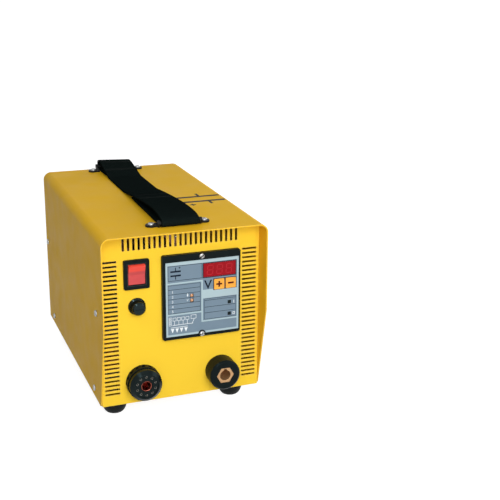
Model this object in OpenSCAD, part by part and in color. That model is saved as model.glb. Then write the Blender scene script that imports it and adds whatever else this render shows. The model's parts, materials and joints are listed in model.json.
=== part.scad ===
// Capacitor-discharge stud welder: a portable sheet-metal case with a carrying strap,
// a recessed front panel with its controls, and two welding sockets.
// Frame: +Z up, front towards -Y, origin on the floor under the middle of the case.

/* [Cover] */
// Outer width of the cover
cover_w = 196; // [180:1:220]
// Height of the cover from its bottom edge to its top face
cover_h = 210; // [205:1:240]
// Length of the cover from its front edge to its rear edge
cover_len = 340; // [335:1:390]
// Thickness of the steel sheet
sheet = 1.5; // [1:0.1:2]
// Outer radius of the cover's two long bends
bend_r = 10; // [8:1:20]
// Distance the cover stands forward of the front panel
hood = 23.5; // [21:0.5:30]
// Height above the bottom edge where the hood starts to slant back
knee_h = 105; // [80:1:130]
// Radius of the cover's lower front corners
corner_r = 5; // [2:0.5:8]
// Distance of the rear panel inside the cover's rear edge
rear_recess = 4; // [3.5:0.5:10]
// Gap between sheets that slide into each other
sheet_gap = 0.2; // [0.1:0.05:0.4]

/* [Panel slots] */
// Number of upright slots in the panel's top row
top_slots = 23; // [11:2:25]
// Spacing of the upright slots
top_slot_pitch = 6.13; // [5:0.01:6.5]
// Width of an upright slot
top_slot_w = 2.8; // [2:0.1:3.5]
// Length of an upright slot
top_slot_len = 17; // [10:0.5:18]
// Solid rim above the upright slots
top_slot_rim = 4.5; // [4:0.5:8]
// Number of slots in each side column
side_slots = 31; // [15:1:32]
// Spacing of the side slots
side_slot_pitch = 5.36; // [4.5:0.01:5.5]
// Height of a side slot
side_slot_h = 2.5; // [1.5:0.1:3]
// Length of a side slot
side_slot_len = 17.5; // [12:0.5:18]
// Height of the lowest side slot above the bottom edge
side_slot_z = 14.5; // [13:0.5:20]
// Solid rim between the side slots and the panel's edge
side_slot_rim = 3.5; // [3:0.5:5]
// Depth of the flanges bent back from the panels
flange_d = 18; // [16:1:24]

/* [Tray and feet] */
// Height of the tray's side flanges
tray_flange_h = 22; // [18:1:30]
// Height of the tray's front and rear lips
tray_lip_h = 8; // [5:0.5:9]
// Height of a rubber foot
foot_h = 24; // [15:0.5:35]
// Diameter of a rubber foot at its top
foot_d = 32; // [28:0.5:36]
// Diameter of a rubber foot at the floor
foot_low_d = 16; // [14:0.5:20]
// Height of the straight wall above a foot's rounding
foot_wall = 4; // [2:0.5:8]
// Distance of the feet from the tray's side edges
foot_edge = 22.3; // [18.3:1:36.3]
// Distance of the feet from the panels
foot_inset = 36; // [30:1:50]

/* [Screws] */
// Shank diameter of the cover screws
cover_screw_d = 4; // [3:0.5:5]
// Head diameter of the cover screws
cover_screw_head_d = 7.5; // [7:0.5:9]
// Head height of the cover screws
cover_screw_head_h = 2.2; // [1.5:0.1:3]
// Height of the upper cover screws above the bottom edge
screw_mid_z = 114; // [100:1:130]
// Height of the lower cover screws above the bottom edge
screw_low_z = 11.5; // [9:0.5:14]
// Distance of the upper cover screws from the panels
screw_mid_inset = 9; // [8:0.5:12]
// Distance of the lower cover screws from the panels
screw_low_inset = 32; // [26:1:40]
// Shank diameter of the M5 screws
m5_d = 5; // [4:0.5:6]
// Gap round a screw in its hole
screw_gap = 0.15; // [0.1:0.05:0.3]

/* [Carrying strap] */
// Width of the webbing
strap_w = 45; // [35:1:50]
// Thickness of the webbing
strap_t = 2.2; // [1.8:0.1:3]
// Fullness of the front arch
front_rise = 13; // [8:0.5:18]
// Fullness of the rear arch
rear_rise = 10; // [8:0.5:16]
// Length of the front arch
front_arch = 170; // [120:5:175]
// Length of the rear arch
rear_arch = 60; // [50:1:80]
// Distance from the front bar to the front arch's fullest place
front_swell = 50; // [20:1:70]
// Distance from the rear bar to the rear arch's fullest place
rear_swell = 10; // [5:1:30]
// Share of an arch where the tail of the webbing is sewn to it
sewn_share = 0.87; // [0.8:0.01:0.9]
// Diameter of a bracket's bar
bar_d = 4.5; // [4:0.5:6]
// Distance of the front bar behind the cover's front edge
bar_front = 26; // [25:1:40]
// Distance of the rear bar from the cover's rear edge
bar_rear = 7.5; // [7.5:0.5:20]
// Distance of a bracket's screws inward of its bar
lug_in = 8; // [7:0.5:12]
// Distance of a bracket's screws from the middle
bracket_screw_x = 31.5; // [31.5:0.5:40]
// Thickness of a bracket's lugs
lug_t = 2.2; // [1.5:0.1:3]
// Diameter of a bracket's round lugs
lug_d = 13; // [12:0.5:16]
// Gap between the webbing and what it lies on or wraps round
strap_gap = 0.3; // [0.2:0.05:0.5]

/* [Mains switch] */
// Sideways place of the switch and the fuse
switch_x = -53; // [-55:0.5:-50]
// Height of the switch's middle
switch_z = 159; // [156:0.5:162]
// Width of the switch's frame
switch_w = 30; // [28:0.5:32]
// Height of the switch's frame
switch_h = 35; // [33:0.5:38]
// Distance the switch's frame stands proud of the panel
switch_proud = 3; // [2:0.5:5]
// Width of the rocker
rocker_w = 19.5; // [16:0.5:20]
// Height of the rocker
rocker_h = 24; // [20:0.5:25]
// Angle of the rocker to either side of level
rocker_tilt = 8; // [5:1:10]
// Diameter of the rocker's pivots
pivot_d = 3; // [2:0.5:3.5]
// Gap round the rocker
rocker_gap = 0.6; // [0.4:0.1:1]

/* [Fuse] */
// Height of the fuse holder's middle
fuse_z = 120; // [118:0.5:124]
// Diameter of the fuse holder's flange
fuse_flange_d = 20.5; // [19:0.5:22]
// Thickness of the fuse holder's flange
fuse_flange_t = 3; // [2:0.5:4]
// Diameter of the fuse holder's barrel
fuse_barrel_d = 15; // [14:0.5:15.5]
// Diameter of the fuse cap
fuse_cap_d = 17; // [15:0.5:17.5]
// Distance the cap stands proud of the flange
fuse_cap_proud = 8.5; // [6:0.5:9]
// Length of the glass fuse
fuse_len = 20; // [18:1:25]
// Diameter of the glass fuse
fuse_d = 5; // [4.5:0.5:6]
// Gap between the fuse's moving pieces and the holder
fuse_gap = 0.35; // [0.2:0.05:0.5]

/* [Control module] */
// Sideways place of the module's middle
module_x = 23.8; // [22:0.2:24]
// Height of the module's middle
module_z = 126.2; // [124:0.2:128]
// Width of the bezel
bezel_w = 95; // [94:0.5:97]
// Height of the bezel
bezel_h = 103; // [101:0.5:106]
// Distance the bezel stands proud of the panel
bezel_proud = 5; // [4:0.5:7]
// Radius of the bezel's corners
bezel_r = 2.5; // [1.5:0.5:4]
// Rim of the bezel above the label
label_top = 8.6; // [8:0.1:9]
// Rim of the bezel below the label
label_low = 3.6; // [3:0.1:4]
// Rim of the bezel to the left of the label
label_left = 3.9; // [3:0.1:4.5]
// Rim of the bezel to the right of the label
label_right = 1.9; // [1.5:0.1:3]
// Thickness of the label plate
label_t = 1; // [0.8:0.1:1.5]
// Distance of the label behind the bezel's front
label_sink = 0.6; // [0.2:0.1:1]
// Diameter of the screw bosses
boss_d = 9; // [8:0.5:10]
// Distance of the upper module screw from the bezel's top edge
boss_top_inset = 4; // [3.2:0.1:4.5]
// Distance of the lower module screw from the bezel's bottom edge
boss_low_inset = 3.2; // [3:0.1:3.4]
// Depth of the module's skirt behind the panel
skirt_d = 16; // [12:1:24]
// Wall of the module's skirt
skirt_t = 1.5; // [1:0.1:1.6]
// Width of the display window
display_w = 39.8; // [38:0.2:41]
// Height of the display window
display_h = 16.8; // [15:0.2:18]
// Distance of the display window from the label's right edge
display_right = 3.8; // [3:0.1:4.5]
// Distance of the display window from the label's top edge
display_top = 5.3; // [5:0.1:7]
// Width and height of a push button
button_w = 12.6; // [11:0.2:12.8]
// Spacing of the two push buttons
button_pitch = 14.4; // [14:0.1:15]
// Distance of the button pair from the label's right edge
button_right = 3.7; // [3:0.1:4.5]
// Distance of the buttons below the display window
button_drop = 3.4; // [2.5:0.1:5]
// Distance a push button stands proud of the label
button_proud = 0.8; // [0.6:0.1:1.5]
// Travel of a push button
button_travel = 0.8; // [0.5:0.1:1]
// Gap round buttons, lamps and the display in the label
window_gap = 0.2; // [0.15:0.05:0.3]
// Side of a square indicator lamp
lamp_w = 4; // [3:0.2:5]
// Distance of the status lamps from the label's right edge
status_right = 11.4; // [8:0.1:14]
// Thickness of the printed circuit boards
board_t = 1.6; // [1:0.2:2]

/* [Sockets] */
// Distance of both sockets from the panel's side edges
socket_edge = 48.3; // [46.3:0.5:50.3]
// Height of both sockets above the bottom edge
socket_z = 26.5; // [25.5:0.5:30]
// Diameter of the sockets' necks in the panel
neck_d = 27; // [25:0.5:28]
// Length of the sockets' necks behind the panel
neck_len = 14; // [10:0.5:18]
// Diameter of the gun socket's collar
gun_collar_d = 40.5; // [39:0.5:42]
// Length of the gun socket's collar
gun_collar_len = 9; // [7:0.5:11]
// Number of grip notches round the collar
gun_notches = 16; // [8:2:20]
// Diameter of the gun socket's front
gun_front_d = 38.6; // [36:0.2:39]
// Distance the gun socket stands proud of the panel
gun_proud = 19; // [16:0.5:20.5]
// Chamfer of the gun socket's front
gun_chamfer = 4; // [2:0.5:5]
// Bore of the gun socket's centre contact
contact_bore = 8; // [6:0.5:10]
// Outer diameter of the gun socket's centre contact
contact_d = 13; // [12:0.5:14]
// Number of control pins
pin_count = 10; // [6:1:12]
// Diameter of the circle of control pins
pin_circle_d = 22.6; // [21:0.2:23]
// Outer diameter of a control pin's sleeve
pin_d = 3; // [2.4:0.1:3.2]
// Bore of a control pin's sleeve
pin_bore = 1.8; // [1.2:0.1:2]
// Diameter of the weld socket's body
weld_d = 37.4; // [36:0.2:39]
// Distance the weld socket stands proud of the panel
weld_proud = 20; // [16:0.5:20.5]
// Chamfer of the weld socket's front
weld_chamfer = 2; // [1:0.5:3]
// Width of the brass insert across its corners
insert_d = 21.6; // [20:0.2:22]
// Bore of the brass insert
insert_bore = 13; // [10:0.5:13]
// Depth of the brass insert's bore
insert_depth = 30; // [25:1:32]
// Distance the insert is sunk in the socket's front
insert_sink = 1; // [0.5:0.1:2]
// Width of the key slot in the insert's bore
key_w = 3.6; // [3:0.2:4]
// Diameter of the rear studs
stud_d = 10; // [8:0.5:11]
// Gap between the socket pieces
socket_gap = 0.1; // [0.05:0.01:0.2]

/* [Mains inlet] */
// Width of the inlet's flange between its screw ears
inlet_w = 50; // [48:0.5:54]
// Height of the inlet's flange
inlet_h = 27; // [25:0.5:30]
// Thickness of the inlet's flange
inlet_flange_t = 3; // [2:0.5:3.5]
// Width of the inlet's cavity
inlet_cavity_w = 24.4; // [23:0.2:25]
// Height of the inlet's cavity
inlet_cavity_h = 16.6; // [16:0.2:18]
// Depth of the inlet's cavity
inlet_depth = 17; // [15:0.5:20]
// Wall of the inlet's body
inlet_wall = 1.8; // [1.5:0.1:2]
// Sideways place of the inlet, seen from the front
inlet_x = 40; // [30:1:50]
// Height of the inlet above the bottom edge
inlet_z = 45; // [40:1:60]

/* [Inside] */
// Diameter of a storage capacitor
cap_d = 68; // [60:1:70]
// Height of a storage capacitor
cap_h = 120; // [100:1:140]
// Spacing of the storage capacitors
cap_pitch = 72; // [71:1:78]
// Distance of the rear row of capacitors from the rear panel
cap_inset = 71; // [66:1:76]
// Room between the transformer and the capacitors
cap_room = 4; // [3:0.5:15]
// Height of the capacitor clamp plate above the tray's floor
clamp_z = 60; // [40:1:80]
// Thickness of the capacitor clamp plate
clamp_t = 4; // [3:0.5:6]
// Height of the capacitor terminals
terminal_h = 8; // [6:0.5:12]
// Thickness of the copper bars
bus_t = 3; // [2:0.5:4]
// Width of the transformer's core
core_w = 84; // [70:1:86]
// Height of the transformer's core
core_h = 70; // [60:1:84]
// Depth of the transformer's stack of laminations
core_d = 40; // [30:1:45]
// Distance of the transformer's middle behind the front panel
core_inset = 92; // [88:1:96]
// Gap between the transformer and the left wall
core_gap = 5; // [4:0.5:8]
// Overhang of the winding in front of and behind the core
coil_over = 12; // [8:1:14]
// Width of the heat sink
sink_w = 60; // [50:1:64]
// Height of the heat sink
sink_h = 60; // [50:1:70]
// Number of fins
sink_fins = 9; // [5:1:11]
// Length of the heat sink
sink_len = 50; // [46:1:56]
// Thickness of the heat sink's base plate
sink_base = 8; // [5:0.5:12]
// Thickness of a fin
fin_t = 1.6; // [1.2:0.1:2]
// Distance of the heat sink's middle behind the front panel
sink_inset = 88; // [84:1:92]
// Gap between the heat sink and the right wall
sink_gap = 5; // [4:0.5:8]
// Width of the thyristor
thyristor_w = 20; // [18:1:26]
// Length of the thyristor
thyristor_len = 44; // [36:1:46]
// Height of the thyristor
thyristor_h = 22; // [18:1:26]
// Width and length of the rectifier
rectifier_w = 26; // [22:1:28]
// Height of the rectifier
rectifier_h = 12; // [10:1:16]
// Distance of the charging board behind the front panel
board_inset = 50; // [46:1:52]
// Length of the charging board
board_len = 78; // [76:1:82]
// Room above the thyristor and the transformer, below the charging board
board_clear = 10; // [6:1:16]
// Diameter of the charging board's posts
board_post_d = 6; // [5:0.5:6]
// Distance of the charging board from the side walls
board_rim = 8; // [7:0.5:9]

/* [Hidden] */

// Segments of a full circle
$fn = 48;
// Length past a face that a cut runs
past = 1;
yellow = [0.98, 0.75, 0.1];
black = [0.07, 0.07, 0.08];
copper = [0.72, 0.42, 0.25];
brass = [0.78, 0.6, 0.33];
steel = [0.72, 0.73, 0.75];

// Main planes of the case
y_front = -cover_len / 2;
y_rear = cover_len / 2;
panel_y = y_front + hood;
rear_y = y_rear - rear_recess;
base_z = foot_h;
top_z = base_z + cover_h;
floor_z = base_z + sheet;
in_w = cover_w / 2 - sheet;
plate_w = in_w - sheet_gap;
plate_h = cover_h - sheet - sheet_gap;
inner_r = bend_r - sheet - sheet_gap;

// Places on the panels, as heights above the floor
switch_up = base_z + switch_z;
fuse_up = base_z + fuse_z;
module_up = base_z + module_z;
socket_up = base_z + socket_z;
inlet_up = base_z + inlet_z;
socket_x = plate_w - socket_edge;
foot_x = plate_w - foot_edge;
label_w = bezel_w - label_left - label_right;
label_h = bezel_h - label_top - label_low;
label_dx = (label_left - label_right) / 2;
label_dz = (label_low - label_top) / 2;
label_x = module_x + label_dx;
label_up = module_up + label_dz;

// Moves a shape drawn in x, z and depth to a place on the front panel, facing forward
module front_at(x, up) {
    translate([x, panel_y, up]) rotate([90, 0, 0]) children();
}

// The same on the rear panel, facing backward
module rear_at(x, up) {
    translate([x, rear_y, up]) rotate([90, 0, 180]) children();
}

// Runs a side view in y and z across the case, from the left by a width
module across(left, w) {
    translate([left, 0, 0]) rotate([90, 0, 90]) linear_extrude(w) children();
}

// Upright rectangle with rounded top corners
module arch(w, h, r) {
    translate([-w / 2, 0]) square([w, h - r]);
    translate([r - w / 2, 0]) square([w - 2 * r, h]);
    for (side = [-1, 1]) translate([side * (w / 2 - r), h - r]) circle(r);
}

// Rectangle with four rounded corners, about its middle
module round_rect(w, h, r) {
    square([w - 2 * r, h], center = true);
    square([w, h - 2 * r], center = true);
    for (sx = [-1, 1], sz = [-1, 1]) translate([sx * (w / 2 - r), sz * (h / 2 - r)]) circle(r);
}

// Hexagonal nut with its bore, standing on z = 0
module nut(bore_d, thick) {
    difference() {
        cylinder(d = 2 * bore_d, h = thick, $fn = 6);
        translate([0, 0, -past]) cylinder(d = bore_d, h = thick + 2 * past);
    }
}

// Screw with a domed head on z = 0 and its shank below
module pan_screw(shank_d, shank_len, head_d, head_h) {
    translate([0, 0, -shank_len]) cylinder(d = shank_d, h = shank_len);
    intersection() {
        cylinder(d = head_d, h = head_h);
        dome_r = (head_d * head_d / 4 + head_h * head_h) / (2 * head_h);
        translate([0, 0, head_h - dome_r]) sphere(dome_r);
    }
}

// Places of the four feet
module at_feet() {
    for (sx = [-1, 1], y = [panel_y + foot_inset, rear_y - foot_inset]) translate([sx * foot_x, y, 0])
        children();
}

// Places of the cover screws of one side, as [y, z]
cover_screw_places = [
    [panel_y + screw_mid_inset, base_z + screw_mid_z],
    [rear_y - screw_mid_inset, base_z + screw_mid_z],
    [panel_y + screw_low_inset, base_z + screw_low_z],
    [rear_y - screw_low_inset, base_z + screw_low_z]
];

// Stands children on both side walls at the screw places, facing outward
module at_cover_screws() {
    for (side = [-1, 1], p = cover_screw_places)
        translate([side * cover_w / 2, p[0], p[1]]) rotate([0, side * 90, 0]) children();
}

// Through holes for the cover screws
module cover_screw_holes() {
    depth = flange_d;
    at_cover_screws() translate([0, 0, -depth])
        cylinder(d = cover_screw_d + 2 * screw_gap, h = depth + past);
}

// Lower front corner of the cover as an arc, in y and z
corner_steps = 6;
corner_arc = [
    for (i = [0 : corner_steps])
        let (a = 180 + 90 * i / corner_steps)
        [panel_y + corner_r + corner_r * cos(a), base_z + corner_r + corner_r * sin(a)]
];

// Cover: one sheet bent into a top and two sides, its front edge a slanting hood
module cover() {
    color(yellow) difference() {
        intersection() {
            translate([0, y_rear, base_z]) rotate([90, 0, 0]) linear_extrude(cover_len) difference() {
                arch(cover_w, cover_h, bend_r);
                translate([0, -past]) arch(cover_w - 2 * sheet, cover_h - sheet + past, bend_r - sheet);
            }
            across(-cover_w, 2 * cover_w) polygon(concat(
                [[y_front, top_z + past], [y_front, base_z + knee_h]],
                corner_arc,
                [[y_rear + past, base_z], [y_rear + past, top_z + past]]
            ));
        }
        cover_screw_holes();
        at_brackets() translate([0, 0, -2 * sheet])
            cylinder(d = cover_screw_d + 2 * screw_gap, h = 3 * sheet);
    }
}

// Flanges bent back from a panel's two upright edges, from its front face at depth 0
module side_flanges() {
    low = tray_flange_h + sheet + past;
    tall = plate_h - inner_r - low;
    for (side = [-1, 1])
        translate([side * (plate_w - sheet / 2) - sheet / 2, low, -flange_d]) cube([sheet, tall, flange_d]);
}

// One column of level slots, its outer end a rim away from the panel's edge
module slot_column(side) {
    for (i = [0 : side_slots - 1])
        translate([side * (plate_w - side_slot_rim - side_slot_len / 2), side_slot_z + i * side_slot_pitch])
            square([side_slot_len, side_slot_h], center = true);
}

// Row of upright slots under the panel's top edge
module slot_row() {
    for (i = [0 : top_slots - 1])
        translate([(i - (top_slots - 1) / 2) * top_slot_pitch, plate_h - top_slot_rim - top_slot_len / 2])
            square([top_slot_w, top_slot_len], center = true);
}

// Front panel with its slots and the openings of what it carries
module front_panel() {
    color(yellow) difference() {
        front_at(0, base_z) {
            translate([0, 0, -sheet]) linear_extrude(sheet) difference() {
                arch(2 * plate_w, plate_h, inner_r);
                slot_row();
                for (side = [-1, 1]) slot_column(side);
                translate([switch_x, switch_z])
                    square([switch_body_w, switch_body_h] + [2, 2] * sheet_gap, center = true);
                translate([switch_x, fuse_z]) circle(d = fuse_barrel_d + 2 * sheet_gap);
                translate([module_x + label_dx, module_z + label_dz])
                    square([skirt_w, skirt_h] + [2, 2] * sheet_gap, center = true);
                for (dz = module_screw_dz) translate([module_x, module_z + dz])
                    circle(d = module_screw_d + 2 * screw_gap);
                for (side = [-1, 1]) translate([side * socket_x, socket_z])
                    circle(d = neck_d + 2 * sheet_gap);
            }
            side_flanges();
        }
        cover_screw_holes();
    }
}

// Rear panel with vents and the inlet's opening
module rear_panel() {
    color(yellow) difference() {
        rear_at(0, base_z) {
            translate([0, 0, -sheet]) linear_extrude(sheet) difference() {
                arch(2 * plate_w, plate_h, inner_r);
                slot_row();
                for (side = [-1, 1]) slot_column(side);
                translate([-inlet_x, inlet_z])
                    square([inlet_body_w, inlet_body_h] + [2, 2] * sheet_gap, center = true);
                for (side = [-1, 1]) translate([side * inlet_screw_x - inlet_x, inlet_z])
                    circle(d = cover_screw_d + 2 * screw_gap);
            }
            side_flanges();
        }
        cover_screw_holes();
    }
}

// Length of the tray between the two panels
tray_len = rear_y - panel_y - 2 * sheet;

// Tray that closes the case below and joins the two panels
module base_tray() {
    color(yellow) difference() {
        translate([0, panel_y + sheet, base_z]) {
            translate([-plate_w, 0, 0]) cube([2 * plate_w, tray_len, sheet]);
            for (side = [-1, 1])
                translate([side * (plate_w - sheet / 2) - sheet / 2, 0, 0])
                    cube([sheet, tray_len, tray_flange_h]);
            for (y = [0, tray_len - sheet]) translate([-plate_w, y, 0])
                cube([2 * plate_w, sheet, tray_lip_h]);
        }
        cover_screw_holes();
        at_feet() translate([0, 0, base_z - past]) cylinder(d = m5_d + 2 * screw_gap, h = sheet + 2 * past);
    }
}

// Foot: a rubber bowl with a deep recess for its screw
foot_steps = 12;
foot_recess_d = 2 * m5_d + 1;
foot_web = foot_h / 3;
foot_bowl = [
    for (i = [0 : foot_steps])
        let (a = 90 * i / foot_steps)
        [foot_low_d / 2 + (foot_d - foot_low_d) / 2 * sin(a), (foot_h - foot_wall) * (1 - cos(a))]
];

module rubber_feet() {
    color(black) at_feet() difference() {
        rotate_extrude() polygon(concat([[0, 0]], foot_bowl, [[foot_d / 2, foot_h], [0, foot_h]]));
        translate([0, 0, -past]) cylinder(d = foot_recess_d, h = foot_h - foot_web + past);
        cylinder(d = m5_d + 2 * screw_gap, h = foot_h + past);
    }
}

m5_nut_h = 4;
m5_head_h = 3;

// Screws through the feet and the tray
module foot_screws() {
    color(steel) at_feet() translate([0, 0, foot_h - foot_web]) rotate([180, 0, 0])
        pan_screw(m5_d, foot_web + sheet + m5_nut_h + past, 2 * m5_d, m5_head_h);
}

// Nuts of the foot screws, inside the tray
module foot_nuts() {
    color(steel) at_feet() translate([0, 0, floor_z]) nut(m5_d + screw_gap, m5_nut_h);
}

// Screws that hold the cover to the panels and the tray
module cover_screws() {
    color(steel) at_cover_screws()
        pan_screw(cover_screw_d, 3 * sheet + sheet_gap, cover_screw_head_d, cover_screw_head_h);
}

// Bars that the strap is looped round, and the loop's ring
bar_r = bar_d / 2;
loop_in = bar_r + strap_gap;
loop_mid = loop_in + strap_t / 2;
loop_out = loop_in + strap_t;
bar_z = top_z + loop_out + strap_gap;
bar_y = [y_front + bar_front, y_rear - bar_rear];
rest_z = top_z + strap_gap + strap_t / 2;
cheek_x = strap_w / 2 + 1;
cheek_t = 2.5;

// Places of the bracket screws on the cover's top
module at_brackets() {
    for (side = [-1, 1], y = [bar_y[0] + lug_in, bar_y[1] - lug_in])
        translate([side * bracket_screw_x, y, top_z]) children();
}

// Place on the turn round a bar, and its direction; dir is 1 at the front and -1 at the rear
function turn_place(y, dir, a) = [y + dir * loop_mid * cos(a), bar_z + loop_mid * sin(a)];
function turn_way(dir, a) = [dir * sin(a), -cos(a)];

// Middle line of the turn, from under the bar to where the webbing leaves it
loop_steps = 14;
function loop_line(y, dir, leave) = [
    for (i = [0 : loop_steps - 1]) turn_place(y, dir, -90 - (90 + leave) * i / loop_steps)
];

// Four points that draw an arch: its start on the turn, two that pull it up, and its end on the cover
function arch_frame(y, dir, leave, pull, swell, rise, len) =
    let (start = turn_place(y, dir, -180 - leave))
    [start, start + pull * turn_way(dir, -180 - leave),
        [y + dir * swell, rest_z + rise], [y + dir * len, rest_z]];

function arch_place(f, u) =
    pow(1 - u, 3) * f[0] + 3 * pow(1 - u, 2) * u * f[1] + 3 * (1 - u) * u * u * f[2] + pow(u, 3) * f[3];

arch_steps = 24;
function arch_line(f) = [for (i = [0 : arch_steps]) arch_place(f, i / arch_steps)];

function reversed(line) = [for (i = [len(line) - 1 : -1 : 0]) line[i]];

// Points of a line moved sideways by a distance
function beside(line, d) = [
    for (i = [0 : len(line) - 1])
        let (
            t = line[min(i + 1, len(line) - 1)] - line[max(i - 1, 0)],
            n = [-t[1], t[0]] / norm(t)
        )
        line[i] + d * n
];

// End of the tail, under the place of the arch it is sewn to
function tail_end(f) = arch_place(f, sewn_share) - [0, strap_t + strap_gap];

// Angles past level where the webbing leaves the bars, and how far it goes on that way
front_leave = 60;
rear_leave = -35;
front_pull = 10;
rear_pull = 17;

front_frame = arch_frame(bar_y[0], 1, front_leave, front_pull, front_swell, front_rise, front_arch);
rear_frame = arch_frame(bar_y[1], -1, rear_leave, rear_pull, rear_swell, rear_rise, rear_arch);

strap_line = concat(
    [tail_end(front_frame)],
    loop_line(bar_y[0], 1, front_leave),
    arch_line(front_frame),
    reversed(arch_line(rear_frame)),
    reversed(loop_line(bar_y[1], -1, rear_leave)),
    [tail_end(rear_frame)]
);

// Webbing: an arch at each end, lying on the cover between them, looped round both bars
module strap() {
    color(black) across(-strap_w / 2, strap_w)
        polygon(concat(beside(strap_line, strap_t / 2), reversed(beside(strap_line, -strap_t / 2))));
}

// Bracket: a bar between two cheeks that taper up to it from two round lugs
eye_r = bar_r + 1;
module bracket(y, dir) {
    lug_y = y + dir * lug_in;
    foot_y = lug_y + dir * (lug_d / 2 - 1);
    difference() {
        union() {
            across(-cheek_x, 2 * cheek_x) translate([y, bar_z]) circle(bar_r);
            for (side = [-1, 1]) {
                across(side * (cheek_x + cheek_t / 2) - cheek_t / 2, cheek_t) {
                    translate([y, bar_z]) circle(eye_r);
                    polygon([[y - dir * eye_r, bar_z], [y, top_z], [foot_y, top_z], [foot_y, top_z + lug_t],
                        [y + dir * eye_r, bar_z]]);
                }
                translate([side * bracket_screw_x, lug_y, top_z]) cylinder(d = lug_d, h = lug_t);
                translate([side * (bracket_screw_x + cheek_x) / 2, lug_y, top_z + lug_t / 2])
                    cube([bracket_screw_x - cheek_x, lug_d - 2, lug_t], center = true);
            }
        }
        at_brackets() translate([0, 0, -past])
            cylinder(d = cover_screw_d + 2 * screw_gap, h = lug_t + 2 * past);
    }
}

module strap_bracket_front() {
    color(black) bracket(bar_y[0], 1);
}

module strap_bracket_rear() {
    color(black) bracket(bar_y[1], -1);
}

m4_nut_h = 3.2;

// Screws of both brackets
module bracket_screws() {
    color(steel) at_brackets() translate([0, 0, lug_t])
        pan_screw(cover_screw_d, lug_t + sheet + m4_nut_h + past, cover_screw_head_d, cover_screw_head_h);
}

// Nuts of the bracket screws, under the cover's top
module bracket_nuts() {
    color(steel) at_brackets() translate([0, 0, -sheet - m4_nut_h])
        nut(cover_screw_d + screw_gap, m4_nut_h);
}

// Switch: sizes behind its frame
switch_body_w = switch_w - 4;
switch_body_h = switch_h - 5;
switch_depth = 26;
switch_wall = (switch_body_w - rocker_w) / 2 - rocker_gap;
pivot_gap = 0.06;
rocker_back = 9;
pivot_len = 2;
pivot_span = rocker_w + 2 * rocker_gap + pivot_len;

// Frame and housing of the mains switch, open in front for the rocker
module switch_body() {
    color(black) front_at(switch_x, switch_up) difference() {
        union() {
            linear_extrude(switch_proud) round_rect(switch_w, switch_h, 2);
            translate([0, 0, -switch_depth / 2])
                cube([switch_body_w, switch_body_h, switch_depth], center = true);
        }
        translate([0, 0, -rocker_back])
            linear_extrude(rocker_back + switch_proud + past)
                square([rocker_w, rocker_h] + [2, 2] * rocker_gap, center = true);
        rotate([0, 90, 0])
            cylinder(d = pivot_d + 2 * pivot_gap, h = pivot_span + pivot_len, center = true);
    }
}

// Blade terminals at the back of the switch
module switch_terminals() {
    blade = [0.8, 6.3, 8];
    color(brass) front_at(switch_x, switch_up)
        for (sx = [-1, 1], sz = [-1, 1])
            translate([sx * switch_body_w / 4, sz * switch_body_h / 4, -switch_depth - blade[2] / 2])
                cube(blade, center = true);
}

// Rocker: a shallow V in front and a round belly behind, tipped to its off side
module rocker() {
    belly = rocker_back - 2 * rocker_gap;
    edge = switch_proud + 1.5;
    dip = 2;
    color([0.85, 0.1, 0.08]) front_at(switch_x, switch_up) rotate([rocker_tilt, 0, 0]) {
        rotate([90, 0, 90]) translate([0, 0, -rocker_w / 2]) linear_extrude(rocker_w) intersection() {
            polygon([[-rocker_h / 2, edge], [0, edge - dip], [rocker_h / 2, edge],
                [rocker_h / 2, 0], [rocker_h / 5, -belly], [-rocker_h / 5, -belly], [-rocker_h / 2, 0]]);
            circle(r = rocker_h / 2, $fn = 96);
        }
        rotate([0, 90, 0]) cylinder(d = pivot_d, h = pivot_span, center = true);
    }
}

// Fuse holder: lengths behind the panel and the bore for the carrier
carrier_d = fuse_d + 3;
fuse_bore_d = carrier_d + 2 * fuse_gap;
fuse_seat = 2;
carrier_len = fuse_len + 4;
fuse_depth = carrier_len + fuse_len / 2 + fuse_seat;
carrier_back = fuse_flange_t + fuse_gap - carrier_len;
fuse_nut_t = 3;

// Flanged barrel that the fuse goes into
module fuse_holder() {
    color(black) front_at(switch_x, fuse_up) difference() {
        union() {
            cylinder(d1 = fuse_flange_d, d2 = fuse_flange_d - 2, h = fuse_flange_t);
            translate([0, 0, -fuse_depth]) cylinder(d = fuse_barrel_d, h = fuse_depth);
        }
        translate([0, 0, fuse_seat - fuse_depth]) cylinder(d = fuse_bore_d, h = fuse_depth + fuse_flange_t);
    }
}

// Ring nut that clamps the fuse holder to the panel
module fuse_nut() {
    color(black) front_at(switch_x, fuse_up) translate([0, 0, -sheet - fuse_nut_t]) difference() {
        cylinder(d = fuse_flange_d + 2, h = fuse_nut_t, $fn = 6);
        translate([0, 0, -past]) cylinder(d = fuse_barrel_d + socket_gap, h = fuse_nut_t + 2 * past);
    }
}

// Sleeve that draws the fuse out
module fuse_carrier() {
    color(black) front_at(switch_x, fuse_up) translate([0, 0, carrier_back]) difference() {
        cylinder(d = carrier_d, h = carrier_len);
        translate([0, 0, -past]) cylinder(d = fuse_d + 2 * socket_gap, h = fuse_len / 2 + past);
    }
}

// Glass fuse, half in the carrier
module fuse_link() {
    color("silver") front_at(switch_x, fuse_up)
        translate([0, 0, carrier_back - fuse_len / 2]) cylinder(d = fuse_d, h = fuse_len);
}

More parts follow.
